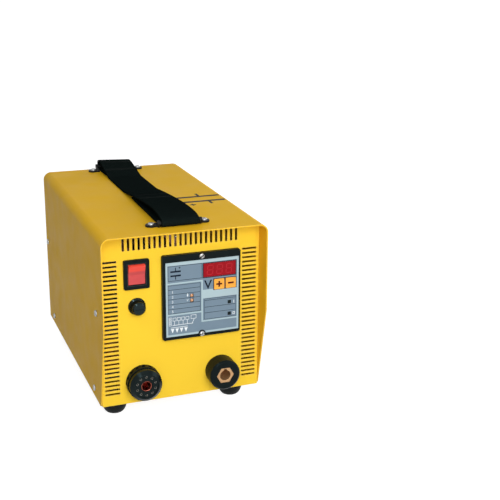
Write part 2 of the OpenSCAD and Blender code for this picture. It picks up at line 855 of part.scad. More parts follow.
// Cap with grip ribs and a screwdriver slot
module fuse_cap() {
    ribs = 18;
    rib_d = 1.2;
    core = fuse_cap_d - rib_d;
    chamfer = 1;
    slot = [fuse_cap_d - 4, 1.6, 1.2];
    color(black) front_at(switch_x, fuse_up) translate([0, 0, fuse_flange_t + fuse_gap]) difference() {
        union() {
            cylinder(d = core, h = fuse_cap_proud - chamfer);
            translate([0, 0, fuse_cap_proud - chamfer])
                cylinder(d1 = core, d2 = core - 2 * chamfer, h = chamfer);
            for (i = [0 : ribs - 1]) rotate(i * 360 / ribs) translate([core / 2, 0, 0])
                cylinder(d = rib_d, h = fuse_cap_proud - 2 * chamfer, $fn = 16);
        }
        translate([0, 0, fuse_cap_proud]) cube([slot[0], slot[1], 2 * slot[2]], center = true);
    }
}

// Module: derived sizes
skirt_w = label_w - 3;
skirt_h = label_h - 6;
label_front = bezel_proud - label_sink;
label_back = label_front - label_t;
module_screw_d = 3;
module_screw_dz = [bezel_h / 2 - boss_top_inset, boss_low_inset - bezel_h / 2];
board_gap = label_back + skirt_d;
display_dx = label_w / 2 - display_right - display_w / 2;
display_dz = label_h / 2 - display_top - display_h / 2;
button_dx = label_w / 2 - button_right - (button_pitch + button_w) / 2;
button_dz = display_dz - display_h / 2 - button_drop - button_w / 2;

// Moves children to the label's middle, depth 0 on the panel's front face
module at_label() {
    front_at(label_x, label_up) children();
}

// Outline of the label: its plate less the two screw bosses
module label_outline(grow) {
    difference() {
        square([label_w, label_h] + [2, 2] * grow, center = true);
        for (dz = module_screw_dz) translate([-label_dx, dz - label_dz]) circle(d = boss_d - 2 * grow);
    }
}

// Bezel with the label's recess, two screw bosses and the skirt behind
module module_bezel() {
    color(black) {
        front_at(module_x, module_up) difference() {
            linear_extrude(bezel_proud) round_rect(bezel_w, bezel_h, bezel_r);
            translate([label_dx, label_dz, label_back]) linear_extrude(bezel_proud)
                label_outline(socket_gap);
            translate([label_dx, label_dz, -past]) linear_extrude(bezel_proud)
                square([skirt_w, skirt_h] - [2, 2] * skirt_t, center = true);
            for (dz = module_screw_dz) translate([0, dz, -past])
                cylinder(d = module_screw_d + 2 * screw_gap, h = bezel_proud + 2 * past);
        }
        at_label() translate([0, 0, -skirt_d]) linear_extrude(skirt_d) difference() {
            square([skirt_w, skirt_h], center = true);
            square([skirt_w, skirt_h] - [2, 2] * skirt_t, center = true);
        }
    }
}

// Lamps from the label's middle: two sensor lamps, and two status lamps spread below the buttons
sensor_lamp_places = [[-13.1, 3], [-13.1, -2.8]];
status_room = button_dz - button_w / 2 + label_h / 2;
status_lamp_places = [
    for (share = [0.336, 0.613])
        [label_w / 2 - status_right, button_dz - button_w / 2 - share * status_room]
];

// Label plate with windows for the display, buttons and lamps
module module_label() {
    color([0.55, 0.6, 0.66]) at_label() translate([0, 0, label_back]) linear_extrude(label_t) difference() {
        label_outline(0);
        translate([display_dx, display_dz]) square([display_w, display_h], center = true);
        for (side = [-1, 1]) translate([button_dx + side * button_pitch / 2, button_dz])
            square(button_w + 2 * window_gap, center = true);
        for (p = concat(sensor_lamp_places, status_lamp_places)) translate(p)
            square(lamp_w + 2 * window_gap, center = true);
    }
}

// Red filter in the label's window
module display_window() {
    color([0.75, 0.05, 0.08]) at_label() translate([display_dx, display_dz, label_back])
        linear_extrude(label_t) square([display_w, display_h] - [2, 2] * window_gap, center = true);
}

// Three-digit display on the board behind the filter
module display_block() {
    color(black) at_label() translate([display_dx, display_dz, -skirt_d])
        linear_extrude(board_gap - socket_gap) square([display_w, display_h] - [4, 4], center = true);
}

// Button cap with its stem; side is -1 for plus and 1 for minus
button_base = 2.5;
key_foot = 6;
module push_button(side) {
    at_label() translate([button_dx + side * button_pitch / 2, button_dz, 0]) {
        translate([0, 0, label_back - button_base]) linear_extrude(button_base + label_t + button_proud)
            round_rect(button_w, button_w, 1);
        translate([0, 0, -skirt_d + button_travel + socket_gap])
            cylinder(d = key_foot, h = board_gap - button_base - button_travel - socket_gap);
    }
}

module plus_button() {
    color([0.96, 0.6, 0.15]) push_button(-1);
}

module minus_button() {
    color([0.96, 0.6, 0.15]) push_button(1);
}

// Lamps with their legs down to the board
module lamps(places) {
    at_label() for (p = places) translate([p[0], p[1], -skirt_d])
        linear_extrude(board_gap + label_t) square(lamp_w, center = true);
}

module sensor_lamps() {
    color("orange") lamps(sensor_lamp_places);
}

module status_lamps() {
    color([0.1, 0.14, 0.14]) lamps(status_lamp_places);
}

// Slotted screws of the module
module module_screws() {
    head_d = 6.6;
    head_h = 1.8;
    color(steel) for (dz = module_screw_dz) front_at(module_x, module_up + dz)
        translate([0, 0, bezel_proud])
        pan_screw(module_screw_d, bezel_proud + sheet + m4_nut_h, head_d, head_h);
}

// Nuts of the module screws, behind the panel
module module_nuts() {
    color(steel) for (dz = module_screw_dz) front_at(module_x, module_up + dz)
        translate([0, 0, -sheet - m4_nut_h]) nut(module_screw_d + screw_gap, m4_nut_h);
}

// Board that closes the module's skirt
module control_board() {
    color([0.1, 0.4, 0.2]) at_label() translate([0, 0, -skirt_d - board_t])
        linear_extrude(board_t) square([skirt_w, skirt_h], center = true);
}

// Neck of a socket through the panel, with its through hole left to the caller
module neck() {
    translate([0, 0, -neck_len]) cylinder(d = neck_d, h = neck_len);
}

// Collar of the gun socket, notched for grip
notch_w = 4;
notch_d = 1.3;
module gun_socket_collar() {
    color(black) front_at(-socket_x, socket_up) difference() {
        cylinder(d = gun_collar_d, h = gun_collar_len);
        translate([0, 0, -past]) cylinder(d = neck_d + 2 * socket_gap, h = gun_collar_len + 2 * past);
        for (i = [0 : gun_notches - 1]) rotate(i * 360 / gun_notches)
            translate([gun_collar_d / 2, 0, gun_collar_len / 2])
                cube([2 * notch_d, notch_w, gun_collar_len - 3], center = true);
    }
}

// Insulating body of the gun socket with its holes for the contacts
module gun_socket_body() {
    front_len = gun_proud - gun_collar_len;
    face_d = gun_front_d - 2 * gun_chamfer;
    lip = 1.5;
    color(black) front_at(-socket_x, socket_up) difference() {
        union() {
            neck();
            cylinder(d = neck_d, h = gun_collar_len);
            translate([0, 0, gun_collar_len]) cylinder(d = gun_front_d, h = front_len - gun_chamfer);
            translate([0, 0, gun_proud - gun_chamfer])
                cylinder(d1 = gun_front_d, d2 = face_d, h = gun_chamfer);
        }
        translate([0, 0, gun_proud - lip]) cylinder(d = face_d - 2 * lip, h = lip + past);
        translate([0, 0, -neck_len - past])
            cylinder(d = contact_d + 2 * socket_gap, h = neck_len + gun_proud + 2 * past);
        at_pins() translate([0, 0, -neck_len - past])
            cylinder(d = pin_d + 2 * socket_gap, h = neck_len + gun_proud + 2 * past);
    }
}

// Places of the control pins round the centre contact
module at_pins() {
    for (i = [0 : pin_count - 1]) rotate(90 + i * 360 / pin_count) translate([pin_circle_d / 2, 0, 0])
        children();
}

// Distance of the contacts behind the gun socket's front
contact_sink = 2.5;

// Copper tube in the middle of the gun socket, solid at its back
module gun_socket_contact() {
    solid_len = 8;
    tube_len = neck_len + gun_proud - contact_sink;
    color(copper) front_at(-socket_x, socket_up) translate([0, 0, -neck_len - solid_len]) difference() {
        union() {
            cylinder(d = stud_d, h = solid_len);
            translate([0, 0, solid_len]) cylinder(d = contact_d, h = tube_len);
        }
        translate([0, 0, 2 * solid_len]) cylinder(d = contact_bore, h = tube_len);
    }
}

// Sleeves of the control pins
module gun_socket_pins() {
    sleeve_len = neck_len + gun_proud - contact_sink;
    bore_len = 12;
    color(brass) front_at(-socket_x, socket_up) at_pins() translate([0, 0, -neck_len]) difference() {
        cylinder(d = pin_d, h = sleeve_len);
        translate([0, 0, sleeve_len - bore_len]) cylinder(d = pin_bore, h = bore_len + past, $fn = 24);
    }
}

// Ring nut of a socket, behind the panel
ring_nut_t = 6;
module ring_nut() {
    translate([0, 0, -sheet - ring_nut_t]) difference() {
        cylinder(d = neck_d + 6, h = ring_nut_t);
        translate([0, 0, -past]) cylinder(d = neck_d + 2 * socket_gap, h = ring_nut_t + 2 * past);
    }
}

module gun_socket_nut() {
    color(black) front_at(-socket_x, socket_up) ring_nut();
}

module weld_socket_nut() {
    color(black) front_at(socket_x, socket_up) ring_nut();
}

// Insulating sleeve of the weld socket, hexagonal inside
module weld_socket_body() {
    color(black) front_at(socket_x, socket_up) difference() {
        union() {
            neck();
            cylinder(d = weld_d, h = weld_proud - weld_chamfer);
            translate([0, 0, weld_proud - weld_chamfer])
                cylinder(d1 = weld_d, d2 = weld_d - 2 * weld_chamfer, h = weld_chamfer);
        }
        translate([0, 0, -neck_len - past])
            cylinder(d = insert_d + 2 * socket_gap, h = neck_len + weld_proud + 2 * past, $fn = 6);
    }
}

// Brass insert of the weld socket: a hexagonal bar with a keyed bore and a rear stud
module weld_socket_insert() {
    stud_len = 10;
    bar_len = neck_len + weld_proud - insert_sink;
    color(brass) front_at(socket_x, socket_up) translate([0, 0, -neck_len]) difference() {
        union() {
            cylinder(d = insert_d, h = bar_len, $fn = 6);
            translate([0, 0, -stud_len]) cylinder(d = stud_d, h = stud_len);
        }
        translate([0, 0, bar_len - insert_depth]) cylinder(d = insert_bore, h = insert_depth + past);
        translate([-key_w / 2, 0, bar_len - insert_depth])
            cube([key_w, insert_bore / 2 + 1.4, insert_depth + past]);
    }
}

// Inlet: derived sizes
inlet_body_w = inlet_cavity_w + 2 * inlet_wall;
inlet_body_h = inlet_cavity_h + 2 * inlet_wall;
inlet_screw_x = inlet_w / 2 - 5;
inlet_bevel = 4;
inlet_head_d = cover_screw_head_d - 0.5;

// Outline of the inlet's cavity, with its two bevelled corners
module inlet_cavity() {
    w = inlet_cavity_w / 2;
    h = inlet_cavity_h / 2;
    polygon([
        [-w, -h], [w, -h], [w, h - inlet_bevel],
        [w - inlet_bevel, h], [inlet_bevel - w, h], [-w, h - inlet_bevel]
    ]);
}

// Flange and body of the mains inlet
module mains_inlet() {
    color(black) rear_at(inlet_x, inlet_up) difference() {
        union() {
            linear_extrude(inlet_flange_t) round_rect(inlet_w, inlet_h, 4);
            translate([0, 0, -inlet_depth]) linear_extrude(inlet_depth)
                square([inlet_body_w, inlet_body_h], center = true);
        }
        translate([0, 0, inlet_wall - inlet_depth]) linear_extrude(inlet_depth + inlet_flange_t)
            inlet_cavity();
        for (side = [-1, 1]) translate([side * inlet_screw_x, 0, -past])
            cylinder(d = cover_screw_d + 2 * screw_gap, h = inlet_flange_t + 2 * past);
        for (p = inlet_pin_places) translate([p[0], p[1], -inlet_depth - past])
            linear_extrude(inlet_depth) square(inlet_pin + [2, 2] * socket_gap, center = true);
    }
}

// Blades of the inlet: two low ones and the earth blade above them
inlet_pin = [2, 4];
inlet_pin_places = [[-7, -2], [7, -2], [0, 2]];
inlet_tail = 6;
inlet_pin_sink = 3;

module inlet_pins() {
    color(brass) rear_at(inlet_x, inlet_up) for (p = inlet_pin_places)
        translate([p[0], p[1], -inlet_depth - inlet_tail])
            linear_extrude(inlet_depth + inlet_tail - inlet_pin_sink) square(inlet_pin, center = true);
}

// Screws of the inlet's flange
module inlet_screws() {
    color(steel) rear_at(inlet_x, inlet_up) for (side = [-1, 1])
        translate([side * inlet_screw_x, 0, inlet_flange_t])
        pan_screw(cover_screw_d, inlet_flange_t + 2 * sheet, inlet_head_d, rear_recess - inlet_flange_t);
}

// Middle of the transformer
core_x = core_gap + core_w / 2 - plate_w + sheet;
core_y = panel_y + core_inset;

// Rows of the capacitor bank: as many as stand between the rear panel and the transformer
cap_rear_y = rear_y - sheet - cap_inset;
cap_front_y = core_y + core_d / 2 + coil_over + cap_room + cap_d / 2;
cap_rows = floor((cap_rear_y - cap_front_y) / cap_pitch) + 1;
cap_span = (cap_rows - 1) * cap_pitch;
cap_y = cap_rear_y - cap_span / 2;
cap_gap = 0.15;

module at_capacitors() {
    for (sx = [-1, 1], i = [0 : cap_rows - 1])
        translate([sx * cap_pitch / 2, cap_rear_y - i * cap_pitch, floor_z]) children();
}

// Storage capacitors, standing on the tray
module capacitors() {
    rim = 2;
    color([0.1, 0.16, 0.3]) at_capacitors() difference() {
        cylinder(d = cap_d, h = cap_h);
        translate([0, 0, cap_h - rim]) cylinder(d = cap_d - 3 * rim, h = rim + past);
    }
}

terminal_d = 12;
terminal_dx = 14;
terminal_low = 2;

module at_terminals(sides) {
    at_capacitors() for (side = sides) translate([side * terminal_dx, 0, cap_h - terminal_low]) children();
}

// Screw terminals on the capacitors' lids
module capacitor_terminals() {
    color("silver") at_terminals([-1, 1]) cylinder(d = terminal_d, h = terminal_h + terminal_low);
}

// Plate that holds the capacitors
clamp_rim = 3;
clamp_w = cap_pitch + cap_d + 2 * clamp_rim;
clamp_len = cap_span + cap_d + 2 * clamp_rim;
post_d = 7;
post_rim = post_d / 2 + 1;
post_end = cap_d / 2 - 4 * clamp_rim - post_d;
module capacitor_clamp() {
    color([0.85, 0.82, 0.7]) difference() {
        translate([0, cap_y, floor_z + clamp_z]) linear_extrude(clamp_t)
            round_rect(clamp_w, clamp_len, clamp_rim);
        at_capacitors() translate([0, 0, clamp_z - past])
            cylinder(d = cap_d + 2 * cap_gap, h = clamp_t + 2 * past);
    }
}

// Posts between the tray and the clamp plate
module clamp_posts() {
    color("silver") for (sx = [-1, 1], sy = [-1, 1])
        translate([sx * (clamp_w / 2 - post_rim), cap_y + sy * (clamp_len / 2 - post_end), floor_z])
            cylinder(d = post_d, h = clamp_z);
}

// Copper bar over one row of terminals; side is 1 for the positive row
module bus(side) {
    w = terminal_d + 2;
    apart = 3;
    reach = w + apart;
    translate([side * terminal_dx, cap_y, floor_z + cap_h + terminal_h]) linear_extrude(bus_t) {
        for (sx = [-1, 1]) translate([sx * cap_pitch / 2, side * reach / 2])
            square([w, cap_span + w + reach], center = true);
        translate([0, side * (cap_span / 2 + reach)]) square([cap_pitch + w, w], center = true);
    }
}

module positive_bar() {
    color(copper) bus(1);
}

module negative_bar() {
    color(copper) bus(-1);
}

// Transformer: a frame of laminations with the winding round its middle leg
leg = core_w / 6;
window_h = core_h - 2 * leg;
window_w = (core_w - 4 * leg) / 2;

module core_view() {
    difference() {
        translate([-core_w / 2, 0]) square([core_w, core_h]);
        for (side = [-1, 1]) translate([side * (leg + window_w / 2), core_h / 2])
            square([window_w, window_h], center = true);
    }
}

module transformer_core() {
    color([0.35, 0.36, 0.38]) difference() {
        translate([core_x, core_y + core_d / 2, floor_z]) rotate([90, 0, 0]) linear_extrude(core_d)
            core_view();
        at_core_bolts() translate([0, 0, -past]) cylinder(d = m5_d + 2 * screw_gap, h = core_h + 2 * past);
    }
}

module transformer_coil() {
    coil_w = 2 * (leg + window_w) - 2 * cap_gap;
    coil_d = core_d + 2 * coil_over;
    coil_h = window_h - 2 * cap_gap;
    color([0.8, 0.4, 0.12]) translate([core_x, core_y, floor_z + core_h / 2]) difference() {
        translate([0, 0, -coil_h / 2]) linear_extrude(coil_h) round_rect(coil_w, coil_d, coil_over / 2);
        cube([2 * leg + 2 * cap_gap, core_d + 2 * cap_gap, core_h], center = true);
    }
}

module at_core_bolts() {
    for (sx = [-1, 1]) translate([core_x + sx * (core_w / 2 - leg / 2), core_y, floor_z]) children();
}

module transformer_bolts() {
    color(steel) at_core_bolts() translate([0, 0, core_h]) pan_screw(m5_d, core_h, 2 * m5_d, m5_head_h);
}

// Heat sink: a base plate with upright fins, and the semiconductors on it
sink_x = plate_w - sheet - sink_gap - sink_w / 2;
sink_y = panel_y + sink_inset;

module heat_sink() {
    pitch = (sink_w - fin_t) / (sink_fins - 1);
    color("silver") translate([sink_x, sink_y + sink_len / 2, floor_z]) rotate([90, 0, 0])
        linear_extrude(sink_len) {
        translate([-sink_w / 2, sink_h - sink_base]) square([sink_w, sink_base]);
        for (i = [0 : sink_fins - 1]) translate([i * pitch - sink_w / 2, 0]) square([fin_t, sink_h]);
    }
}

module thyristor() {
    color([0.15, 0.15, 0.17])
        translate([sink_x - sink_w / 4 - thyristor_w / 2, sink_y - thyristor_len / 2, floor_z + sink_h])
            cube([thyristor_w, thyristor_len, thyristor_h]);
}

module rectifier() {
    color([0.2, 0.2, 0.22]) translate([sink_x + sink_w / 4, sink_y, floor_z + sink_h]) difference() {
        translate([-rectifier_w / 2, -rectifier_w / 2, 0]) cube([rectifier_w, rectifier_w, rectifier_h]);
        translate([0, 0, rectifier_h / 2]) cylinder(d = m5_d, h = rectifier_h);
    }
}

// Charging board: level above the transformer and the heat sink, on four posts from the tray
board_w = 2 * (plate_w - sheet - board_rim);
board_up = max(sink_h + thyristor_h, core_h + m5_head_h) + board_clear;

module power_board() {
    color([0.1, 0.4, 0.2]) translate([-board_w / 2, panel_y + board_inset, floor_z + board_up])
        cube([board_w, board_len, board_t]);
}

module board_posts() {
    near = panel_y + board_inset + board_post_d;
    far = panel_y + board_inset + board_len - board_post_d;
    color("silver") for (side = [-1, 1], y = [near, far])
        translate([side * (board_w / 2 - board_post_d), y, floor_z])
            cylinder(d = board_post_d, h = board_up);
}

cover();
front_panel();
rear_panel();
base_tray();
rubber_feet();
foot_screws();
foot_nuts();
cover_screws();
strap();
strap_bracket_front();
strap_bracket_rear();
bracket_screws();
bracket_nuts();
switch_body();
switch_terminals();
rocker();
fuse_holder();
fuse_nut();
fuse_carrier();
fuse_link();
fuse_cap();
module_bezel();
module_label();
display_window();
display_block();
plus_button();
minus_button();
sensor_lamps();
status_lamps();
module_screws();
module_nuts();
control_board();
gun_socket_collar();
gun_socket_body();
gun_socket_contact();
gun_socket_pins();
gun_socket_nut();
weld_socket_body();
weld_socket_insert();
weld_socket_nut();
mains_inlet();
inlet_pins();
inlet_screws();
capacitors();
capacitor_terminals();
capacitor_clamp();
clamp_posts();
positive_bar();
negative_bar();
transformer_core();
transformer_coil();
transformer_bolts();
heat_sink();
thyristor();
rectifier();
power_board();
board_posts();
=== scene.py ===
import bpy
import bmesh
import json
import math
from mathutils import Matrix, Vector


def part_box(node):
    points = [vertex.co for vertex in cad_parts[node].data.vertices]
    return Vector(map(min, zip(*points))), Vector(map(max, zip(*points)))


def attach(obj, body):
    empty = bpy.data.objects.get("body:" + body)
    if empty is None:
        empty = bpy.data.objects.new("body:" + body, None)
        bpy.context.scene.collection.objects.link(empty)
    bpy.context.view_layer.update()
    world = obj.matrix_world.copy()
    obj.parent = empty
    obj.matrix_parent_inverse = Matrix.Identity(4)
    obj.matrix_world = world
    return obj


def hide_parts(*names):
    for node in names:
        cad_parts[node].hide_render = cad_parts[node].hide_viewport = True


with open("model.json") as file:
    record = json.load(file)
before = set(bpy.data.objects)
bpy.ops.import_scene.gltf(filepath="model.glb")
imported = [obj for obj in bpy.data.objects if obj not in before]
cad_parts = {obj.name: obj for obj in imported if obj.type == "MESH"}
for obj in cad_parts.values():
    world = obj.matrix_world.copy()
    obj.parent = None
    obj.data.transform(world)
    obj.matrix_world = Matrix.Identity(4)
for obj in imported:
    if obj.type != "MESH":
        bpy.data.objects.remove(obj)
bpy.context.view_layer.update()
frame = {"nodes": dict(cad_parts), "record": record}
nodes = frame["nodes"]
scene = bpy.context.scene
scene.view_settings.view_transform = "Standard"
mm = 0.001
print("frame loaded,", len(nodes), "nodes")


# a box of the frame in mm, to a thousandth: its corners and its middle
def inMm(box):
    low, high = [Vector([round(v / mm, 3) for v in corner]) for corner in box]
    return {"low": low, "high": high, "middle": (low + high) / 2}


# main planes of the case in mm, from its solids
panel, cover = inMm(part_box("front_panel")), inMm(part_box("cover"))
case = {"panelY": panel["low"].y, "topZ": cover["high"].z, "sideX": cover["high"].x}

# camera at the photograph's angle
lookFrom = {
    "place": (-323.3, -1176.8, 545.3),
    "heading": -21.62,
    "down": 17.45,
    "roll": 0.7,
    "lens": 71.27,
    "sensor": 36.0,
    "clip": (0.02, 50.0),
}


def makeCamera(look):
    data = bpy.data.cameras.new("viewCamera")
    data.lens = look["lens"]
    data.sensor_width = look["sensor"]
    data.clip_start, data.clip_end = look["clip"]
    camera = bpy.data.objects.new("viewCamera", data)
    scene.collection.objects.link(camera)
    turn = (
        Matrix.Rotation(math.radians(look["heading"]), 4, "Z")
        @ Matrix.Rotation(math.radians(90 - look["down"]), 4, "X")
        @ Matrix.Rotation(math.radians(look["roll"]), 4, "Z")
    )
    camera.matrix_world = Matrix.Translation(Vector(look["place"]) * mm) @ turn
    scene.camera = camera


makeCamera(lookFrom)
print("camera set")


# node tree helpers: put() makes a node, and a socket given as a value is linked
def put(tree, kind, values=None, **settings):
    node = tree.nodes.new(kind)
    for key, value in settings.items():
        setattr(node, key, value)
    for key, value in (values or {}).items():
        if isinstance(value, bpy.types.NodeSocket):
            tree.links.new(value, node.inputs[key])
        else:
            node.inputs[key].default_value = value
    return node


def calc(tree, operation, *values):
    return put(tree, "ShaderNodeMath", dict(enumerate(values)), operation=operation).outputs[0]


def spread(tree, value, low, high, toLow=0.0, toHigh=1.0):
    node = put(tree, "ShaderNodeMapRange", {0: value, 1: low, 2: high, 3: toLow, 4: toHigh})
    return node.outputs[0]


def blendColor(tree, share, first, second):
    node = put(tree, "ShaderNodeMix", {0: share, 6: first, 7: second}, data_type="RGBA")
    return node.outputs[2]


# one for rays from the camera, a mirror or glass, nought for the rest
def seenDirectly(tree):
    path = put(tree, "ShaderNodeLightPath").outputs
    mirrored = calc(tree, "ADD", path["Is Glossy Ray"], path["Is Transmission Ray"])
    return calc(tree, "MINIMUM", calc(tree, "ADD", path["Is Camera Ray"], mirrored), 1.0)


def startGroup(name, ins, outs):
    tree = bpy.data.node_groups.new(name, "ShaderNodeTree")
    kinds = {"color": "NodeSocketColor", "value": "NodeSocketFloat", "vector": "NodeSocketVector"}
    for way, sockets in (("INPUT", ins), ("OUTPUT", outs)):
        for label, kind in sockets.items():
            tree.interface.new_socket(name=label, in_out=way, socket_type=kinds[kind])
    return tree, tree.nodes.new("NodeGroupInput").outputs, tree.nodes.new("NodeGroupOutput").inputs


def objectNoise(tree, scale, detail, stretch=None):
    place = put(tree, "ShaderNodeTexCoord").outputs["Object"]
    if stretch:
        place = put(tree, "ShaderNodeMapping", {"Vector": place, "Scale": stretch}).outputs[0]
    return put(tree, "ShaderNodeTexNoise", {"Vector": place, "Scale": scale, "Detail": detail}).outputs[0]


# noise given as (scale, detail, low, high), with its levels from low to high spread over other values
def noiseBand(tree, band, toLow=0.0, toHigh=1.0):
    scale, detail, low, high = band
    return spread(tree, objectNoise(tree, scale, detail), low, high, toLow, toHigh)


surfaceOuts = {"Color": "color", "Roughness": "value", "Height": "value"}

# rounded normals along sharp edges, and a mask of those edges, where the coat and grain finishes paint a
# highlight
edgeForm = {"samples": 6, "flat": 0.995, "sharp": 0.8}


def makeEdgeGroup(f):
    tree, given, out = startGroup("softEdges", {"Radius": "value"}, {"Normal": "vector", "Edge": "value"})
    bevel = put(tree, "ShaderNodeBevel", {"Radius": given["Radius"]}, samples=f["samples"])
    flat = put(tree, "ShaderNodeNewGeometry").outputs["Normal"]
    match = put(tree, "ShaderNodeVectorMath", {0: bevel.outputs[0], 1: flat}, operation="DOT_PRODUCT")
    tree.links.new(bevel.outputs[0], out["Normal"])
    tree.links.new(spread(tree, match.outputs["Value"], f["flat"], f["sharp"]), out["Edge"])
    return tree


# powder coat: slow drift of tone, fine specks, orange peel, and a painted highlight along the edges
coatForm = {
    "drift": (7.0, 3.0, 0.35, 0.7), "driftShare": 0.22,
    "speck": (2600.0, 1.0, 0.58, 0.75), "speckShare": 0.16,
    "patch": (40.0, 4.0, 0.3, 0.75), "rough": (0.36, 0.5),
    "peelDetail": 2.0, "edgeHighlightShare": 0.6,
}


def makeCoatGroup(f):
    ins = {"Paint": "color", "Deep": "color", "Pale": "color", "Edge": "value", "Peel Scale": "value"}
    tree, given, out = startGroup("powderCoat", ins, surfaceOuts)
    tone = blendColor(tree, noiseBand(tree, f["drift"], 0.0, f["driftShare"]), given["Paint"], given["Deep"])
    tone = blendColor(tree, noiseBand(tree, f["speck"], 0.0, f["speckShare"]), tone, given["Deep"])
    # painted highlight: the edges are painted paler
    tone = blendColor(tree, calc(tree, "MULTIPLY", given["Edge"], f["edgeHighlightShare"]), tone, given["Pale"])
    tree.links.new(tone, out["Color"])
    tree.links.new(noiseBand(tree, f["patch"], *f["rough"]), out["Roughness"])
    tree.links.new(objectNoise(tree, given["Peel Scale"], f["peelDetail"]), out["Height"])
    return tree


# moulded plastic or rubber: fine spark grain, paler edges that are a painted highlight broken up like wear,
# patches of tone
grainForm = {
    "patch": (60.0, 3.0, 0.35, 0.7), "patchShare": 0.18,
    "uneven": (350.0, 3.0, 0.35, 0.65), "unevenFrom": 0.25, "wearAndHighlightShare": 0.7,
    "grainDetail": 2.0,
}


def makeGrainGroup(f):
    ins = {
        "Base": "color", "WearAndHighlight": "color", "Edge": "value",
        "Scale": "value", "Smooth": "value", "Rough": "value",
    }
    tree, given, out = startGroup("mouldGrain", ins, surfaceOuts)
    patch = noiseBand(tree, f["patch"])
    # painted highlight along the edges, made uneven like wear
    edgeWearAndHighlight = calc(tree, "MULTIPLY", given["Edge"], noiseBand(tree, f["uneven"], f["unevenFrom"]))
    tone = blendColor(tree, calc(tree, "MULTIPLY", patch, f["patchShare"]), given["Base"], given["WearAndHighlight"])
    tone = blendColor(tree, calc(tree, "MULTIPLY", edgeWearAndHighlight, f["wearAndHighlightShare"]), tone, given["WearAndHighlight"])
    tree.links.new(tone, out["Color"])
    tree.links.new(spread(tree, patch, 0.0, 1.0, given["Smooth"], given["Rough"]), out["Roughness"])
    tree.links.new(objectNoise(tree, given["Scale"], f["grainDetail"]), out["Height"])
    return tree


# plated or turned metal: drawn lines, a little tarnish in patches
metalForm = {
    "lineDetail": 2.0, "lineStretch": (1.0, 0.12, 1.0), "lineLevels": (0.3, 0.7),
    "patch": (120.0, 4.0, 0.42, 0.72), "tarnishShare": 0.45,
}


def makeMetalGroup(f):
    ins = {"Metal": "color", "Tarnish": "color", "Smooth": "value", "Rough": "value", "Scale": "value"}
    tree, given, out = startGroup("drawnMetal", ins, surfaceOuts)
    lines = objectNoise(tree, given["Scale"], f["lineDetail"], f["lineStretch"])
    dull = calc(tree, "MULTIPLY", noiseBand(tree, f["patch"]), f["tarnishShare"])
    tree.links.new(blendColor(tree, dull, given["Metal"], given["Tarnish"]), out["Color"])
    tree.links.new(spread(tree, lines, *f["lineLevels"], given["Smooth"], given["Rough"]), out["Roughness"])
    tree.links.new(lines, out["Height"])
    return tree


# webbing: ribs along the strap crossed by fine picks, read from the strap's own lengths, with painted shade
# in the gaps between the yarns
weaveForm = {
    "ribPower": 0.6, "pickPower": 0.5, "stagger": 0.5,
    "fuzz": (900.0, 3.0, 0.3, 0.7), "light": (0.6, 1.0), "rough": (0.62, 0.8),
}


def makeWeaveGroup(f):
    ins = {"Yarn": "color", "Gap": "color", "Rib": "value", "Pick": "value"}
    tree, given, out = startGroup("webbingWeave", ins, surfaceOuts)
    split = put(tree, "ShaderNodeSeparateXYZ", {0: put(tree, "ShaderNodeUVMap").outputs[0]})
    across = calc(tree, "DIVIDE", split.outputs[0], given["Rib"])
    along = calc(tree, "DIVIDE", split.outputs[1], given["Pick"])

    def wave(place, power):
        swing = calc(tree, "SINE", calc(tree, "MULTIPLY", place, math.pi))
        return calc(tree, "POWER", calc(tree, "ABSOLUTE", swing), power)

    step = calc(tree, "MULTIPLY", calc(tree, "FLOOR", across), f["stagger"])
    picks = wave(calc(tree, "ADD", along, step), f["pickPower"])
    height = calc(tree, "MULTIPLY", wave(across, f["ribPower"]), picks)
    fuzz = noiseBand(tree, f["fuzz"])
    light = calc(tree, "MULTIPLY", height, spread(tree, fuzz, 0.0, 1.0, *f["light"]))
    # painted shade: the gaps between the yarns take the darker colour
    tree.links.new(blendColor(tree, light, given["Gap"], given["Yarn"]), out["Color"])
    tree.links.new(spread(tree, fuzz, 0.0, 1.0, *f["rough"]), out["Roughness"])
    tree.links.new(height, out["Height"])
    return tree


groups = {
    "edge": makeEdgeGroup(edgeForm),
    "coat": makeCoatGroup(coatForm),
    "grain": makeGrainGroup(grainForm),
    "metal": makeMetalGroup(metalForm),
    "weave": makeWeaveGroup(weaveForm),
}
print("shader groups ready:", ", ".join(groups))


def startMaterial(name, plain):
    material = bpy.data.materials.new(name)
    material.use_nodes = True
    tree = material.node_tree
    shader = tree.nodes["Principled BSDF"]
    for key, value in plain.items():
        shader.inputs[key].default_value = value
    return material, tree, shader


# one finish: the surface group's colour, roughness and bump, over rounded edges (edge and depth in metres)
def makeFinish(name, kind, values, plain=None, edge=0.0005, bump=0.15, depth=0.0002):
    material, tree, shader = startMaterial(name, plain or {})
    surface = put(tree, "ShaderNodeGroup", values, node_tree=groups[kind])
    height = surface.outputs["Height"]
    raised = put(tree, "ShaderNodeBump", {"Height": height, "Strength": bump, "Distance": depth})
    if edge:
        soft = put(tree, "ShaderNodeGroup", {"Radius": edge}, node_tree=groups["edge"])
        tree.links.new(soft.outputs["Normal"], raised.inputs["Normal"])
        if "Edge" in surface.inputs:
            tree.links.new(soft.outputs["Edge"], surface.inputs["Edge"])
    tree.links.new(surface.outputs["Color"], shader.inputs["Base Color"])
    tree.links.new(surface.outputs["Roughness"], shader.inputs["Roughness"])
    tree.links.new(raised.outputs[0], shader.inputs["Normal"])
    return material


# pale: the colour of the painted highlight along the edges
def coatLook(paint, deep, pale, peel=650.0):
    return {"Paint": (*paint, 1), "Deep": (*deep, 1), "Pale": (*pale, 1), "Peel Scale": peel}


# edgeTone: a paler tone for patches and for the painted highlight along the edges
def grainLook(base, edgeTone, smooth, rough, scale=1500.0):
    return {"Base": (*base, 1), "WearAndHighlight": (*edgeTone, 1), "Smooth": smooth, "Rough": rough, "Scale": scale}


